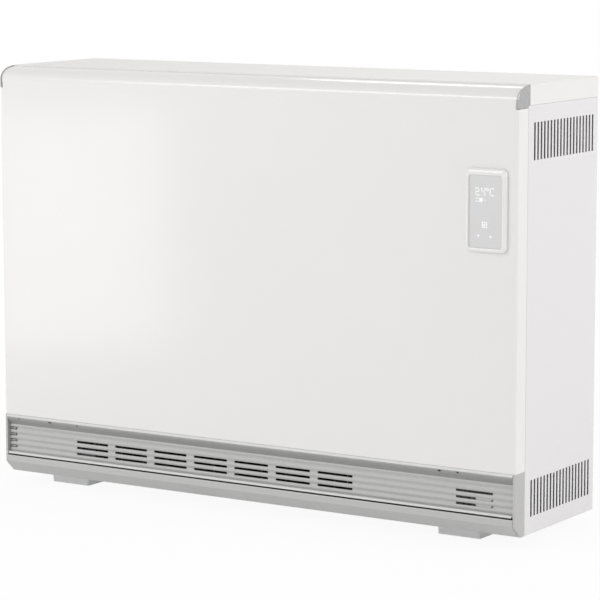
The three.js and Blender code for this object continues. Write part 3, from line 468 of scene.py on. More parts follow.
def gloss_plastic(name, colour, roughness):
    """Polished moulding under a clear coat, with the slight waviness of its surface."""
    plastic = Finish(name, colour, roughness)
    plastic.colours(plastic.noise(9.0, 3), tint(colour, 0.98), colour)
    plastic.roughness(plastic.noise(60.0, 3), roughness - 0.03, roughness + 0.04)
    plastic.bump(plastic.noise(260.0, 2), 0.004)
    plastic.coat(0.6, 0.08)
    return plastic.material


def face_glass(name, colour):
    """The touch control's printed face: pale grey behind a smooth gloss."""
    glass = Finish(name, colour, 0.16)
    glass.colours(glass.noise(25.0, 2), tint(colour, 0.985), colour)
    glass.roughness(glass.noise(200.0, 3), 0.12, 0.2)
    glass.coat(0.5, 0.06)
    return glass.material


def zinc(name, colour, roughness):
    """Galvanised sheet with its spangle."""
    sheet = Finish(name, colour, roughness, metallic=1.0)
    spangle = sheet.cells(160.0, output="Color")
    sheet.colours(spangle, tint(colour, 0.8), tint(colour, 1.1))
    sheet.roughness(sheet.noise(45.0, 4), roughness - 0.1, roughness + 0.12)
    sheet.bump(sheet.noise(700.0, 4), 0.015)
    return sheet.material


def store_brick(name):
    """Pressed iron-oxide brick: dark, granular, with rust-red specks."""
    brick = Finish(name, (0.12, 0.062, 0.04), 0.9)
    brick.colours(brick.noise(380.0, 6), (0.055, 0.034, 0.028), (0.2, 0.1, 0.062))
    brick.roughness(brick.noise(200.0, 3), 0.8, 1.0)
    brick.bump(brick.cells(620.0), 0.25)
    brick.bump(brick.noise(90.0, 5), 0.3)
    return brick.material


def fibre_board(name):
    """Pressed mineral board: pale, matted fibres."""
    board = Finish(name, (0.66, 0.61, 0.52), 0.95)
    board.colours(board.noise(240.0, 8, (1, 1, 5)), (0.5, 0.45, 0.37), (0.74, 0.69, 0.6))
    board.bump(board.noise(420.0, 8, (1, 1, 6)), 0.4)
    return board.material


def oxidised_rod(name):
    """Heating rod's steel sheath, tempered brown and blue by heat."""
    rod = Finish(name, (0.1, 0.09, 0.085), 0.45, metallic=0.9)
    rod.colours(rod.noise(35.0, 4), (0.12, 0.075, 0.05), (0.09, 0.1, 0.13))
    rod.roughness(rod.noise(300.0, 3), 0.35, 0.6)
    rod.bump(rod.noise(1500.0, 3), 0.01)
    return rod.material


def circuit_board(name):
    """Green lacquered board with paler tracks under the lacquer."""
    board = Finish(name, (0.03, 0.12, 0.06), 0.4)
    board.colours(
        board.cells(180.0, "DISTANCE_TO_EDGE"), (0.06, 0.2, 0.1), (0.02, 0.09, 0.045),
        from_low=0.02, from_high=0.1,
    )
    board.roughness(board.noise(100.0, 3), 0.3, 0.45)
    board.bump(board.cells(180.0, "DISTANCE_TO_EDGE"), 0.05, 0.5)
    return board.material


def lit_sign(name, strength):
    """The lit signs behind the control's face."""
    sign = Finish(name, (0.9, 0.9, 0.9), 0.4)
    glow = sign.mapped(sign.noise(900.0, 2), 0.94 * strength, strength)
    sign.shader.inputs["Emission Color"].default_value = WHITE
    sign.links.new(glow, sign.shader.inputs["Emission Strength"])
    return sign.material


WARM_WHITE = (0.8, 0.79, 0.775)
COOL_WHITE = (0.752, 0.738, 0.745)
SILVER = (0.5, 0.5, 0.495)

white_enamel = enamel("white_enamel", WARM_WHITE, 0.14)
lid_enamel = enamel("lid_enamel", WARM_WHITE, 0.45)
side_enamel = enamel("side_enamel", COOL_WHITE, 0.2)
white_plastic = moulded("white_plastic", (0.86, 0.855, 0.85), 0.38)
gloss_white = gloss_plastic("gloss_white", (0.8, 0.795, 0.79), 0.22)
silver_plastic = silver_paint("silver_plastic", SILVER, 0.42)
silver_metal = silver_paint("silver_metal", (0.47, 0.47, 0.466), 0.55, metallic=0.12)
# A lighter copy of the silver that paints light: on the rail's nose and the grille's lower lip,
# which face up into the light.
painted_light_silver = silver_paint("painted_light_silver", (0.6, 0.6, 0.595), 0.45, metallic=0.12)
# A darker copy of the silver that paints shade: on the grille's brow and on the left cheek's
# tongues.
painted_shade_silver = silver_paint("painted_shade_silver", (0.31, 0.31, 0.308), 0.5)
cap_grey = silver_paint("cap_grey", (0.4, 0.4, 0.4), 0.28)
grey_face = face_glass("grey_face", (0.66, 0.665, 0.66))
inner_steel = zinc("inner_steel", (0.5, 0.51, 0.52), 0.42)
black_plastic = moulded("black_plastic", (0.012, 0.012, 0.013), 0.5, specular=0.25)
red_plastic = moulded("red_plastic", (0.45, 0.02, 0.015), 0.35)
sign_light = lit_sign("sign_light", strength=0.1)


# ---- CAD nodes that keep their shape ----

CARRIED = {
    inner_steel: (
        "base_tray", "panel_screw_left", "panel_screw_right", "core_case", "core_cover",
        "fan_stand_left", "fan_stand_right", "fan_scroll", "outlet_duct", "fan_motor",
        "air_flap", "partition", "wall_bracket",
    ),
    side_enamel: ("rear_panel",),
    white_plastic: ("terminal_block",),
    black_plastic: ("lint_filter", "fan_rotor", "fan_bush", "flap_actuator", "cutout_body"),
    red_plastic: ("reset_button",),
    circuit_board("circuit_board"): ("control_board", "power_board"),
    oxidised_rod("rod_steel"): ("heating_rod_1", "heating_rod_2", "heating_rod_3"),
    fibre_board("insulation_board"): tuple(f"insulation_{part}" for part in (
        "bottom", "top", "front", "rear", "left", "right",
    )),
    store_brick("store_brick"): tuple(
        f"store_brick_{layer}_{column}" for layer in (1, 2, 3, 4) for column in (1, 2, 3)
    ),
}

for material, names in CARRIED.items():
    for name in names:
        node = frame["nodes"][name]
        node.data.materials.clear()
        node.data.materials.append(material)


# ---- front panel ----

def cap_lean(z):
    """How much further out the caps begin at a height on the roll."""
    share = (z - ROLL_START + CAP_LEAN_BELOW) / (ROLL_RISE + CAP_LEAN_BELOW)
    return CAP_LEAN * min(max(share, 0), 1) ** CAP_LEAN_POWER


def front_panel():
    """One folded sheet: sides wrapped back, top rolled back, bottom edge turned in."""
    low, high = span("control_bezel")
    window_x = (low[0] + WINDOW_MARGIN, high[0] - WINDOW_MARGIN)
    window_z = (low[2] + WINDOW_MARGIN, high[2] - WINDOW_MARGIN)
    flat = CAP_INSIDE - FIT
    fold = PANEL_FOLD_RADIUS
    right = arc((HALF - fold, fold), fold, 270, 360, 8) + [(HALF, WRAP)]
    left = [(-x, y) for x, y in reversed(right)]
    facing = [(-flat, 0), (0, 0), (window_x[0], 0), (window_x[1], 0), (flat, 0)]
    columns = left + facing + right
    first, last = len(left), len(left) + len(facing) - 1

    turned_in = [(PANEL_RETURN, PANEL_BOTTOM)]
    turned_in += arc((PANEL_BEND, PANEL_BOTTOM + PANEL_BEND), PANEL_BEND, 270, 180, 5)
    upright = [(0, window_z[0]), (0, window_z[1]), (0, CAP_BOTTOM - HAIRLINE / 2)]
    roll = [
        (ROLL_MIDDLE * (1 - math.cos(a)), ROLL_START + ROLL_RISE * math.sin(a))
        for a in (math.radians(90 * i / ROLL_STEPS) for i in range(ROLL_STEPS + 1))
    ]
    roll.append((ROLL_BACK, ROLL_TOP))
    rows = turned_in + upright + roll
    wrap_from, wrap_to = len(turned_in) - 1, len(turned_in) + len(upright) - 1

    mesh = bmesh.new()
    grid = {}

    def vertex(i, j):
        x, y = columns[i]
        back, z = rows[j]
        if abs(x) == flat:
            x += math.copysign(cap_lean(z), x)
        if (i, j) not in grid:
            grid[i, j] = mesh.verts.new(at(x, max(y, back), z))
        return grid[i, j]

    def below(i):
        x, y = columns[i]
        if (i, "below") not in grid:
            grid[i, "below"] = mesh.verts.new(at(x, y, PANEL_BOTTOM))
        return grid[i, "below"]

    for i in range(len(columns) - 1):
        middle = first <= i < last
        for j in range(len(rows) - 1):
            window = columns[i][0] == window_x[0] and rows[j] == upright[0]
            if window or not (middle or wrap_from <= j < wrap_to):
                continue
            mesh.faces.new((
                vertex(i, j), vertex(i + 1, j), vertex(i + 1, j + 1), vertex(i, j + 1),
            ))
        if not middle:
            mesh.faces.new((
                below(i), below(i + 1), vertex(i + 1, wrap_from), vertex(i, wrap_from),
            ))
    piece = finish(
        "front_shell", mesh, white_enamel,
        replaces=["front_panel"], bevel=SHEET_EDGE,
    )
    thicken(piece, SHEET)


# ---- side panels and lid ----

def side_panel(side):
    """Folded sheet with two rows of upright vent slots."""
    slots = []
    for i in range(VENT_COUNT):
        middle = VENT_FIRST_Y + i * VENT_PITCH
        slots.append((middle - VENT_WIDTH / 2, middle + VENT_WIDTH / 2))
    edges = [(HALF, y) for slot in slots for y in slot]
    corner_x = HALF - FOLD_RADIUS
    front = arc((corner_x, SIDE_FRONT + FOLD_RADIUS), FOLD_RADIUS, 270, 360, 5)
    back = arc((corner_x, DEPTH - FOLD_RADIUS), FOLD_RADIUS, 0, 90, 5)
    columns = [(HALF - FOLD, SIDE_FRONT)] + front + edges + back + [(HALF - FOLD, DEPTH)]
    rows = [FLOOR_GAP]
    for low in VENT_FLOORS:
        rows += [low, low + VENT_HEIGHT]
    rows.append(LID_EDGE_Z - HAIRLINE)

    mesh = bmesh.new()
    grid = [[mesh.verts.new(at(side * x, y, z)) for z in rows] for x, y in columns]
    for i in range(len(columns) - 1):
        slotted = any(columns[i] == (HALF, slot[0]) for slot in slots)
        for j in range(len(rows) - 1):
            if slotted and rows[j] in VENT_FLOORS:
                continue
            corners = [grid[i][j], grid[i + 1][j], grid[i + 1][j + 1], grid[i][j + 1]]
            mesh.faces.new(corners if side > 0 else corners[::-1])
    name = SIDES[side]
    piece = finish(
        f"side_shell_{name}", mesh, side_enamel,
        replaces=[f"side_panel_{name}"], bevel=SHEET_EDGE,
    )
    thicken(piece, SHEET)


def beside_caps(edge):
    """Whether an edge of the lid is one of its upright front corners."""
    upright = abs(edge.verts[0].co.z - edge.verts[1].co.z) > MM
    return upright and edge.verts[0].co.y < FRONT + (LID_FRONT + 1) * MM


def lid():
    """Shallow cover, open below, with softly folded edges."""
    mesh = bmesh.new()
    bmesh.ops.create_cube(mesh, size=1)
    middle = at(0, (LID_FRONT + DEPTH) / 2, (LID_EDGE_Z + HEIGHT) / 2)
    size = Vector((2 * HALF, DEPTH - LID_FRONT, HEIGHT - LID_EDGE_Z)) * MM
    for vertex in mesh.verts:
        vertex.co = middle + Vector(a * b for a, b in zip(vertex.co, size))
    mesh.normal_update()
    underside = [face for face in mesh.faces if face.normal.z < -0.5]
    bmesh.ops.delete(mesh, geom=underside, context="FACES_ONLY")
    folds = [
        edge for edge in mesh.edges
        if len(edge.link_faces) == 2 and not beside_caps(edge)
    ]
    bmesh.ops.bevel(
        mesh, geom=folds, offset=FOLD_RADIUS * MM, segments=6, profile=0.5, affect="EDGES",
    )
    piece = finish(
        "lid_shell", mesh, lid_enamel, replaces=["top_cover"], bevel=SHEET_EDGE,
    )
    thicken(piece, SHEET)


# ---- caps on the ends of the roll ----

def cap_outline(inset):
    """The cap's side view, drawn in by an amount all round."""
    rise, back = ROLL_RISE + CAP_PROUD - inset, ROLL_MIDDLE + CAP_PROUD - inset
    radius = CAP_CORNER - min(inset, CAP_CORNER - 0.2)
    reach = inset + radius
    low_front = arc((reach - CAP_PROUD, CAP_BOTTOM + reach), radius, 270, 180, 5)
    low_back = arc((WRAP - reach, CAP_BOTTOM + reach), radius, 360, 270, 5)
    curve = [
        (min(ROLL_MIDDLE - back * math.cos(a), ROLL_BACK - inset), ROLL_START + rise * math.sin(a))
        for a in (math.radians(90 * i / CAP_STEPS) for i in range(CAP_STEPS + 1))
    ]
    curve.append((ROLL_BACK - inset, ROLL_START + rise))
    step = [(ROLL_BACK - inset, LID_EDGE_Z + inset), (WRAP - inset, LID_EDGE_Z + inset)]
    return low_front + curve + step + low_back


def roll_cap(side):
    """Moulded end cap with a rounded outer edge, narrower towards the top of the roll."""
    def ring(inset, x):
        points = []
        for y, z in cap_outline(inset):
            inside = CAP_INSIDE + cap_lean(z)
            share = (x - CAP_INSIDE) / (HALF - CAP_INSIDE)
            points.append(at(side * (inside + share * (HALF - inside)), y, z))
        return points

    edge = arc((0, 0), CAP_EDGE, 0, 90, 7)
    profile = [(0.0, CAP_INSIDE)] + [(CAP_EDGE - a, HALF - CAP_EDGE + b) for a, b in edge]
    shell = loft([ring(inset, x) for inset, x in profile], close_ends=True)
    plug_length, overlap = 13.0, 1.5
    plug = prism(
        rounded_box(
            (SHEET + CAP_PROUD, ROLL_MIDDLE - CAP_PROUD), (LID_EDGE_Z, ROLL_START + overlap), 2,
        ),
        "x", (side * (CAP_INSIDE - plug_length), side * (CAP_INSIDE + overlap)),
    )
    tab_x = (side * (CAP_INSIDE + 0.6), side * (HALF - 0.3))
    tabs = [
        prism(rounded_box(y, z, 0.3, 2), "x", tab_x)
        for y, z in (
            ((4, WRAP - 0.5), (CAP_BOTTOM - 2, CAP_BOTTOM + 1)),
            ((WRAP - 1, ROLL_BACK - 0.3), (LID_EDGE_Z - 1.4, LID_EDGE_Z + 1)),
        )
    ]
    name = SIDES[side]
    finish(
        f"cap_{name}", merged(shell, plug, *tabs), cap_grey,
        replaces=[f"roll_cap_{name}"], bevel=0.2,
    )


# ---- grille and its surround ----

def rib_depth(drop):
    """How deep the ribbed sheet lies at a height below its top valley."""
    middle = (RIB_VALLEY_Y + RIB_CREST_Y) / 2
    swing = (RIB_VALLEY_Y - RIB_CREST_Y) / 2
    return middle + swing * math.cos(2 * math.pi * drop / RIB_PITCH)


def grille_outline(steps=14):
    """Brow, ribs and lower lip of the grille, seen from the side."""
    top = span("grille_plate")[1][2] - BROW_DROP
    waves = []
    for i in range(RIB_COUNT * steps + 1):
        drop = i * RIB_PITCH / steps
        waves.append((rib_depth(drop), RIB_TOP_Z - drop))
    brow_end = 4
    face = [point for point in waves[brow_end + 1:] if point[1] > LIP_TOP_Z + 0.5]
    back = [(y + GRILLE_WALL, z) for y, z in reversed(waves) if z > HINGE[1]]
    brow = rounded([
        (GRILLE_FRONT + GRILLE_WALL, top, 0), (GRILLE_FRONT, top, 0.25),
        (GRILLE_FRONT, BROW_TURN_Z, BROW_RADIUS), (*waves[brow_end], 0),
    ], 8, closed=False)
    lip = rounded([
        (*face[-1], 0), (LIP_TOP_Y, LIP_TOP_Z, 0.6),
        (LIP_BOTTOM_Y, LIP_BOTTOM_Z, 0.7), (RIB_VALLEY_Y, LIP_BOTTOM_Z, 0),
    ], 5, closed=False)
    return brow[1:] + face[:-1] + lip + back + [(GRILLE_FRONT + GRILLE_WALL, top)]


def slot_cutters(through):
    """Air slots in the valleys of the lower ribs."""
    cutters = []
    for row in SLOT_ROWS:
        z = RIB_TOP_Z - row * RIB_PITCH
        for start in SLOT_STARTS:
            outline = rounded_box(
                (start, start + SLOT_LENGTH), (z - SLOT_HEIGHT / 2, z + SLOT_HEIGHT / 2),
                SLOT_CORNER, 4,
            )
            cutters.append(prism(outline, "y", through))
    return cutters


def clip_cutters():
    """Small holes in the brow, where the grille's catches show."""
    cutters = []
    for x, reach in CLIP_HOLES:
        hole = rounded_box(
            (x - reach, x + reach), (CLIP_HOLE_Z - CLIP_HOLE_RISE, CLIP_HOLE_Z + CLIP_HOLE_RISE),
            0.8, 4,
        )
        cutters.append(prism(hole, "y", (0, RIB_VALLEY_Y)))
    return cutters


def end_cutters(half, through):
    """Notches in the ribs' ends and bores for the pins."""
    cutters = []
    for side, length in NOTCH_LENGTHS.items():
        for row in range(1, RIB_COUNT):
            z = RIB_TOP_Z - row * RIB_PITCH
            outline = rounded_box(
                sorted((side * (half - length), side * (half + 1))),
                (z - NOTCH_HEIGHT / 2, z + NOTCH_HEIGHT / 2), 0.9, 4,
            )
            cutters.append(prism(outline, "y", through))
        bore = circle(HINGE, PIN_RADIUS + FIT)
        cutters.append(prism(bore, "x", sorted((side * (half - PIN_LENGTH), side * (half + 1)))))
    return cutters


def grille_plate():
    """Ribbed front of the air outlet, with three rows of slots and notched ends.

    The groups of cutters are cut out one after the other, because some of them overlap.
    """
    half = span("grille_plate")[1][0]
    through = (RIB_CREST_Y - 2, RIB_VALLEY_Y + GRILLE_WALL + 2)
    corner = [
        (half - LIP_CUT_LOW, LIP_BOTTOM_Z - 1), (half + 1, LIP_BOTTOM_Z - 1),
        (half + 1, LIP_CUT_Z), (half - LIP_CUT_HIGH, LIP_CUT_Z),
    ]
    passes = (
        slot_cutters(through), clip_cutters(), end_cutters(half, through),
        [prism(corner, "y", (-1, RIB_VALLEY_Y + GRILLE_WALL + 1))],
    )
    plate = prism(grille_outline(), "x", (-half, half))
    for cutters in passes:
        plate = cut_out(plate, cutters)
    piece = finish(
        "grille", plate, silver_metal,
        body="grille", replaces=["grille_plate"], bevel=0,
    )
    # The brow's faces that look down take the darker silver as painted shade; the lower lip takes
    # the lighter silver as painted light.
    piece.data.materials.append(painted_shade_silver)
    piece.data.materials.append(painted_light_silver)
    painted_shade_index, painted_light_index = 1, 2
    brow = (RIB_TOP_Z - BROW_SHADE_REACH, BROW_TURN_Z + BROW_SHADE_REACH)
    for face in piece.data.polygons:
        middle = face.center.z / MM
        if brow[0] < middle < brow[1] and face.normal.y < -0.1:
            face.material_index = painted_shade_index
        elif middle < LIP_TOP_Z + 0.2:
            face.material_index = painted_light_index
    blank = prism(
        rounded_box(BLANK_X, BLANK_Z, 2),
        "y", (RIB_VALLEY_Y + BLANK_DEPTH, RIB_VALLEY_Y + GRILLE_WALL + 1.2),
    )
    finish("slot_blank", blank, silver_plastic, body="grille", bevel=0.3)


def folded_strip(name, node, line, wall, ends, material):
    """A strip of even thickness, bent along a line across it."""
    mesh = bmesh.new()
    rings = [[mesh.verts.new(at(x, y, z)) for y, z in line] for x in ends]
    for i in range(len(line) - 1):
        mesh.faces.new((rings[0][i], rings[1][i], rings[1][i + 1], rings[0][i + 1]))
    bmesh.ops.recalc_face_normals(mesh, faces=mesh.faces)
    front = min(mesh.faces, key=lambda face: face.calc_center_median().y)
    if front.normal.y > 0:
        bmesh.ops.reverse_faces(mesh, faces=mesh.faces)
    piece = finish(name, mesh, material, replaces=[node], bevel=SHEET_EDGE)
    thicken(piece, wall)


def surround():
    """Skirt with its chamfer, a black strip of painted shade along its top, and rail under the
    front panel.
    """
    ends = (-SURROUND_HALF + FIT, SURROUND_HALF - FIT)
    skirt = rounded([
        (WRAP, SKIRT_TOP, 0), (0, SKIRT_TOP, 1.2), (0, SKIRT_BREAK_Z, 2.5),
        (SKIRT_SETBACK, FLOOR_GAP, 2.0), (WRAP, FLOOR_GAP, 0),
    ], 5, closed=False)
    folded_strip(
        "skirt", "skirt_trim", skirt, SURROUND_WALL, ends, silver_plastic,
    )
    # A black strip along the top of the skirt, under the grille's lip, paints the shade of the gap
    # between them.
    gap_shade_strip = prism(rounded_box((1.6, 24), (SKIRT_TOP - 0.5, SKIRT_TOP + 0.25), 0.2, 3), "x", ends)
    finish("gap_painted_shade", gap_shade_strip, black_plastic, bevel=0.1)
    top, bottom = PANEL_BOTTOM - HAIRLINE, RAIL_BOTTOM - BROW_DROP
    rail = prism(rounded([
        (0.4, bottom, 0.1), (-RAIL_NOSE, bottom + 0.4, 0.5), (-RAIL_NOSE, bottom + 1.6, 1.5),
        (0, top, 0.2), (WRAP, top, 0), (WRAP, top - SHEET, 0),
        (SURROUND_WALL + 1.3, top - SHEET, 0.3), (SURROUND_WALL, bottom, 0.3),
    ], 4), "x", ends)
    # The rail is drawn in the lighter silver, as painted light on its upturned nose.
    finish("rail", rail, painted_light_silver, replaces=["grille_rail"], bevel=0)


def grille_end(side):
    """Side cheek of the surround, with the pin that carries the grille."""
    name = SIDES[side]
    top = PANEL_BOTTOM - HAIRLINE
    outline = rounded([
        (0, top, 0.5), (0, SKIRT_BREAK_Z, 2.5), (SKIRT_SETBACK, FLOOR_GAP, 2.0),
        (WRAP, FLOOR_GAP, 0), (WRAP, top, 0),
    ], 5)
    root = side * (HALF - 2)
    low, high = SHELF_Z + FIT, RAIL_TOP - SHEET - FIT
    flange = [(WRAP - 2, low), (WRAP, low), (WRAP, high), (WRAP - 2, high)]
    bodies = (
        prism(outline, "x", (side * SURROUND_HALF, side * HALF)),
        prism(circle(HINGE, PIN_RADIUS), "x", (side * (SURROUND_HALF - PIN_LENGTH), root)),
        prism(flange, "x", (side * (SURROUND_HALF - FOLD), root)),
    )
    finish(
        f"cheek_{name}", merged(*bodies), silver_plastic,
        replaces=[f"grille_end_{name}"], bevel=0.5, segments=3,
    )


def tongues():
    """Four fingers of the left cheek that lie in the notches of the ribbed sheet, drawn in the
    darker silver as painted shade inside the notches.
    """
    reach = (-SURROUND_HALF - 1, TONGUE_LENGTH - SURROUND_HALF)
    bodies = []
    for row in range(1, RIB_COUNT):
        z = RIB_TOP_Z - row * RIB_PITCH
        tongue = rounded_box(reach, (z - TONGUE_HEIGHT / 2, z + TONGUE_HEIGHT / 2), 1.2, 4)
        bodies.append(prism(tongue, "y", (RIB_VALLEY_Y - 0.4, RIB_VALLEY_Y + 1.2)))
    # Painted shade: the tongues take the darker silver for the shade inside the notches.
    finish("cheek_tongues", merged(*bodies), painted_shade_silver, bevel=0.3)


# ---- touch control ----

RIM_PROFILE = (
    (0, 0), (0, 2), (0.06, 3.8), (0.16, 5.2), (0.3, 6.2), (0.48, 6.8), (0.66, 7),
    (0.84, 6.8), (0.95, 6.2), (1, 5.2), (1, 3),
)


def control():
    """Pillow-edged frame round a sunken face, with lit signs on it."""
    low, high = span("control_bezel")
    face_low, face_high = span("control_face")
    outer = rounded_box((low[0], high[0]), (low[2], high[2]), CONTROL_CORNER, 12)
    opening = rounded_box(
        (face_low[0] + HAIRLINE, face_high[0] - HAIRLINE),
        (face_low[2] + HAIRLINE, face_high[2] - HAIRLINE), OPENING_CORNER, 12,
    )
    rings = []
    for share, proud in RIM_PROFILE:
        ring = [
            (a + (c - a) * share, b + (d - b) * share)
            for (a, b), (c, d) in zip(outer, opening)
        ]
        rings.append([at(x, -proud, z) for x, z in ring])
    behind = [at(x, 0, z) for x, z in ring]
    finish(
        "control_frame", loft([*rings, behind, rings[0]]), gloss_white,
        replaces=["control_bezel"], bevel=0,
    )

    plate = prism(
        rounded_box((face_low[0], face_high[0]), (face_low[2], face_high[2]), OPENING_CORNER),
        "y", (face_low[1], face_high[1]),
    )
    finish(
        "control_glass", plate, grey_face,
        replaces=["control_face"], bevel=0.35, segments=3,
    )
    signs(*SIGNS_AT, face_low[1])


SEGMENTS = {"2": "abged", "4": "fgbc", "C": "adef"}
SIGN_LIFT = 0.12
SIGN_STROKE = 1.6
DIGITS = (("2", -18.8), ("4", -9.0), ("C", 4.9))
DIGITS_Z = 21.1
DIGIT_WIDTH = 7.0
DIGIT_HEIGHT = 11.6
# Spans in x and in z of the bar sign's parts, from the middle of the signs.
BAR_SIGN = (
    (-18.3, -11.7, 16.6, 17.6), (-18.3, -11.7, 12.4, 13.4),
    (-11.7, -6.4, 12.2, 17.8), (-3.4, -2.2, 14.2, 15.8),
)
GRID_CELL = 2.4
GRID_PITCH = GRID_CELL + 0.85
ARROW_SIZE = 2.6


def digit(text, x, z, width, height, stroke):
    """Bars of a seven-segment sign with its lower left corner at (x, z)."""
    half = height / 2
    places = {
        "a": ((x, x + width), (z + height - stroke, z + height)),
        "g": ((x, x + width), (z + half - stroke / 2, z + half + stroke / 2)),
        "d": ((x, x + width), (z, z + stroke)),
        "f": ((x, x + stroke), (z + half, z + height)),
        "b": ((x + width - stroke, x + width), (z + half, z + height)),
        "e": ((x, x + stroke), (z, z + half)),
        "c": ((x + width - stroke, x + width), (z, z + half)),
    }
    return [places[letter] for letter in SEGMENTS[text]]


def signs(x, z, face_y):
    """Temperature, bar, grid and two arrows, a hair proud of the face."""
    front_y = face_y - SIGN_LIFT
    boxes = []
    for text, left in DIGITS:
        boxes += digit(text, x + left, z + DIGITS_Z, DIGIT_WIDTH, DIGIT_HEIGHT, SIGN_STROKE)
    boxes += [((x + a, x + b), (z + c, z + d)) for a, b, c, d in BAR_SIGN]
    for row in range(3):
        for column in range(3):
            left, bottom = x - 7.6 + column * GRID_PITCH, z - 24.8 + row * GRID_PITCH
            boxes.append(((left, left + GRID_CELL), (bottom, bottom + GRID_CELL)))
    bodies = [prism(rounded_box(a, b, 0.3, 3), "y", (front_y, face_y)) for a, b in boxes]

    degree, outer, inner = (x + 1.0, z + 30.4), 2.4, 1.1
    rings = []
    for radius, y in ((outer, face_y), (outer, front_y), (inner, front_y), (inner, face_y)):
        rings.append([at(a, y, b) for a, b in circle(degree, radius)])
    bodies.append(loft(rings + rings[:1]))

    level = z - 36.6
    for middle, tip in ((x - 13.3, -1), (x + 6.9, 1)):
        base = level - tip * ARROW_SIZE * 0.6
        arrow = rounded([
            (middle - ARROW_SIZE, base, 0.7), (middle + ARROW_SIZE, base, 0.7),
            (middle, level + tip * ARROW_SIZE * 0.9, 0.7),
        ], 4)
        bodies.append(prism(arrow, "y", (front_y, face_y)))
    finish("control_signs", merged(*bodies), sign_light, bevel=0)


# ---- feet and gland ----

def foot(name):
    """Moulded foot with rounded edges, a little narrower at the floor."""
    low, high = span(name)
    profile = ((1.2, low[2]), (0.35, low[2] + 0.35), (0.48, low[2] + 1.2), (0, high[2]))
    rings = []
    for inset, z in profile:
        outline = rounded_box(
            (low[0] + inset, high[0] - inset), (low[1] + inset, high[1] - inset), FOOT_CORNER, 6,
        )
        rings.append([at(x, y, z) for x, y in outline])
    finish(
        f"{name}_shell", loft(rings, close_ends=True), white_plastic,
        replaces=[name], bevel=0.2,
    )


def gland():
    """Cable gland: a round sleeve with a wider collar at its back end."""
    low, high = span("cable_gland")
    x, z = (low[0] + high[0]) / 2, (low[2] + high[2]) / 2
    radius, sleeve, bore = (high[0] - low[0]) / 2, 9.0, 4.5
    profile = [
        (bore, low[1]), (sleeve - 1, low[1]), (sleeve, low[1] + 1), (sleeve, high[1] - 1.3),
        (radius, high[1] - 1.2), (radius, high[1] - 0.4), (radius - 0.6, high[1]),
        (bore + 0.6, high[1]), (bore, high[1] - 0.8),
    ]
    rings = []
    for reach, y in profile:
        rings.append([at(a, y, b) for a, b in circle((x, z), reach, 48)])
    finish(
        "gland", loft(rings + rings[:1]), black_plastic,
        replaces=["cable_gland"], bevel=0,
    )


front_panel()
lid()
for side in SIDES:
    side_panel(side)
    roll_cap(side)
    grille_end(side)
surround()
tongues()
grille_plate()
control()
foot("foot_left")
foot("foot_right")
gland()


# ---- studio ----

FLOOR_GREY = (0.9, 0.9, 0.9, 1)
FLOOR_HALF = 80


def seen_as_white(tree, shader_output, share=None):
    """Mixes white of strength 1 into what the camera, mirrors and glass see of a shader.

    'share' is a socket with how much of it is white; without one it is all white. The caller
    links the white shader to the last input of the node that comes back.
    """
    path = tree.nodes.new("ShaderNodeLightPath")
    seen = path.outputs["Is Camera Ray"]
    for other in ("Is Glossy Ray", "Is Transmission Ray"):
        either = tree.nodes.new("ShaderNodeMath")
        either.operation = "MAXIMUM"
        tree.links.new(seen, either.inputs[0])
        tree.links.new(path.outputs[other], either.inputs[1])
        seen = either.outputs[0]
    if share:
        amount = tree.nodes.new("ShaderNodeMath")
        amount.operation = "MULTIPLY"
        tree.links.new(seen, amount.inputs[0])
        tree.links.new(share, amount.inputs[1])
        seen = amount.outputs[0]
    mix = tree.nodes.new("ShaderNodeMixShader")
    tree.links.new(seen, mix.inputs["Fac"])
    tree.links.new(shader_output, mix.inputs[1])
    return mix


def whiter_away(tree, near_share, near, far):
    """A share that grows to 1 between two distances from the middle of the floor."""
    coordinates = tree.nodes.new("ShaderNodeTexCoord")
    length = tree.nodes.new("ShaderNodeVectorMath")
    length.operation = "LENGTH"
    tree.links.new(coordinates.outputs["Object"], length.inputs[0])
    share = tree.nodes.new("ShaderNodeMapRange")
    share.interpolation_type = "SMOOTHSTEP"
    share.inputs["From Min"].default_value = near
    share.inputs["From Max"].default_value = far
    share.inputs["To Min"].default_value = near_share
    share.inputs["To Max"].default_value = 1
    tree.links.new(length.outputs["Value"], share.inputs["Value"])
    return share.outputs["Result"]


def floor():
    """A floor that takes the object's shadow and is white further away, so that it has no edge."""
    mesh = bmesh.new()
    bmesh.ops.create_grid(mesh, x_segments=1, y_segments=1, size=FLOOR_HALF)
    data = bpy.data.meshes.new("floor")
    mesh.to_mesh(data)
    mesh.free()
    piece = bpy.data.objects.new("floor", data)
    bpy.context.scene.collection.objects.link(piece)
    material = bpy.data.materials.new("floor_white")
    material.use_nodes = True
    tree = material.node_tree
    tree.nodes.clear()
    matt = tree.nodes.new("ShaderNodeBsdfDiffuse")
    matt.inputs["Color"].default_value = FLOOR_GREY
    white = tree.nodes.new("ShaderNodeEmission")
    white.inputs["Color"].default_value = WHITE
    share = whiter_away(tree, near_share=0.92, near=0.6, far=1.6)
    mix = seen_as_white(tree, matt.outputs[0], share)
    tree.links.new(white.outputs[0], mix.inputs[2])
    output = tree.nodes.new("ShaderNodeOutputMaterial")
    tree.links.new(mix.outputs[0], output.inputs["Surface"])
    data.materials.append(material)


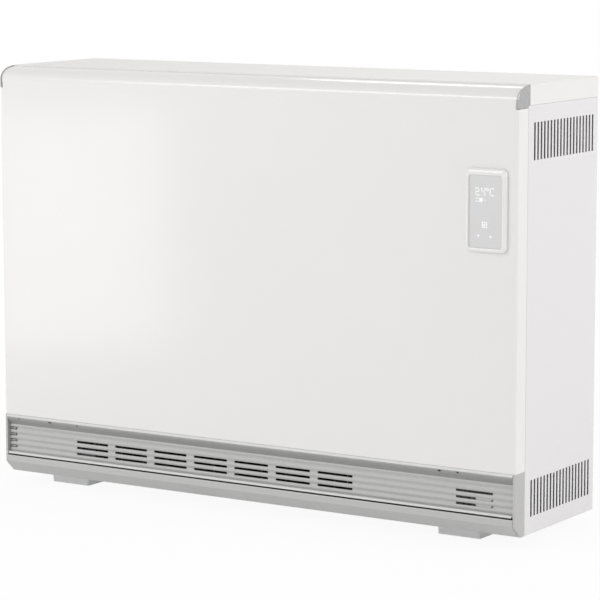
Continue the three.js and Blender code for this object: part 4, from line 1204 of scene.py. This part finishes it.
def world(strength):
    """Even light from all round, seen as white by the camera."""
    scene_world = bpy.data.worlds.new("studio")
    bpy.context.scene.world = scene_world
    scene_world.use_nodes = True
    tree = scene_world.node_tree
    dim = tree.nodes["Background"]
    dim.inputs["Color"].default_value = WHITE
    dim.inputs["Strength"].default_value = strength
    white = tree.nodes.new("ShaderNodeBackground")
    white.inputs["Color"].default_value = WHITE
    mix = seen_as_white(tree, dim.outputs[0])
    tree.links.new(white.outputs[0], mix.inputs[2])
    tree.links.new(mix.outputs[0], tree.nodes["World Output"].inputs["Surface"])


def softbox(name, place, aim, size, power, mirrored=True):
    """A soft lamp. One that isn't mirrored lights the object without showing in its gloss."""
    lamp = bpy.data.lights.new(name, "AREA")
    lamp.shape = "RECTANGLE"
    lamp.size, lamp.size_y = size
    lamp.energy = power
    holder = bpy.data.objects.new(name, lamp)
    holder.visible_camera = False
    holder.visible_glossy = mirrored
    holder.location = place
    holder.rotation_euler = (Vector(aim) - Vector(place)).to_track_quat("-Z", "Y").to_euler()
    bpy.context.scene.collection.objects.link(holder)


def camera():
    """The photograph's camera: place, turn and lens worked out from the cabinet's edges."""
    data = bpy.data.cameras.new("camera")
    data.sensor_width = 36
    data.lens = 168.67
    data.clip_end = 100
    data.dof.use_dof = False
    holder = bpy.data.objects.new("camera", data)
    turn, dip, roll = (math.radians(angle) for angle in (32.509, 8.04, -0.062))
    holder.matrix_world = (
        Matrix.Translation((2.32576, -3.61691, 0.92566))
        @ Matrix.Rotation(turn, 4, "Z")
        @ Matrix.Rotation(math.pi / 2 - dip, 4, "X")
        @ Matrix.Rotation(roll, 4, "Z")
    )
    bpy.context.scene.collection.objects.link(holder)
    bpy.context.scene.camera = holder


floor()
world(strength=0.65)
camera()
softbox("key", place=(-1.5, -3.5, 2.5), aim=(0, 0, 0.5), size=(2.6, 1.4), power=45)
softbox(
    "left_card", place=(-1.105, -1.17, 0.27), aim=(-0.33, -0.12, 0.4), size=(0.36, 0.49),
    power=0.95,
)
softbox(
    "low_front", place=(-0.6, -3.2, 0.3), aim=(0, 0, 0.1), size=(2.6, 0.45), power=8,
    mirrored=False,
)
softbox("right_fill", place=(3.0, 0.4, 1.4), aim=(0.4, 0, 0.35), size=(1.2, 1.4), power=28)
softbox("back", place=(-0.9, 2.55, 2.5), aim=(0, 0, 0.6), size=(1.8, 0.5), power=8.5)

bpy.context.scene.view_settings.view_transform = "Standard"
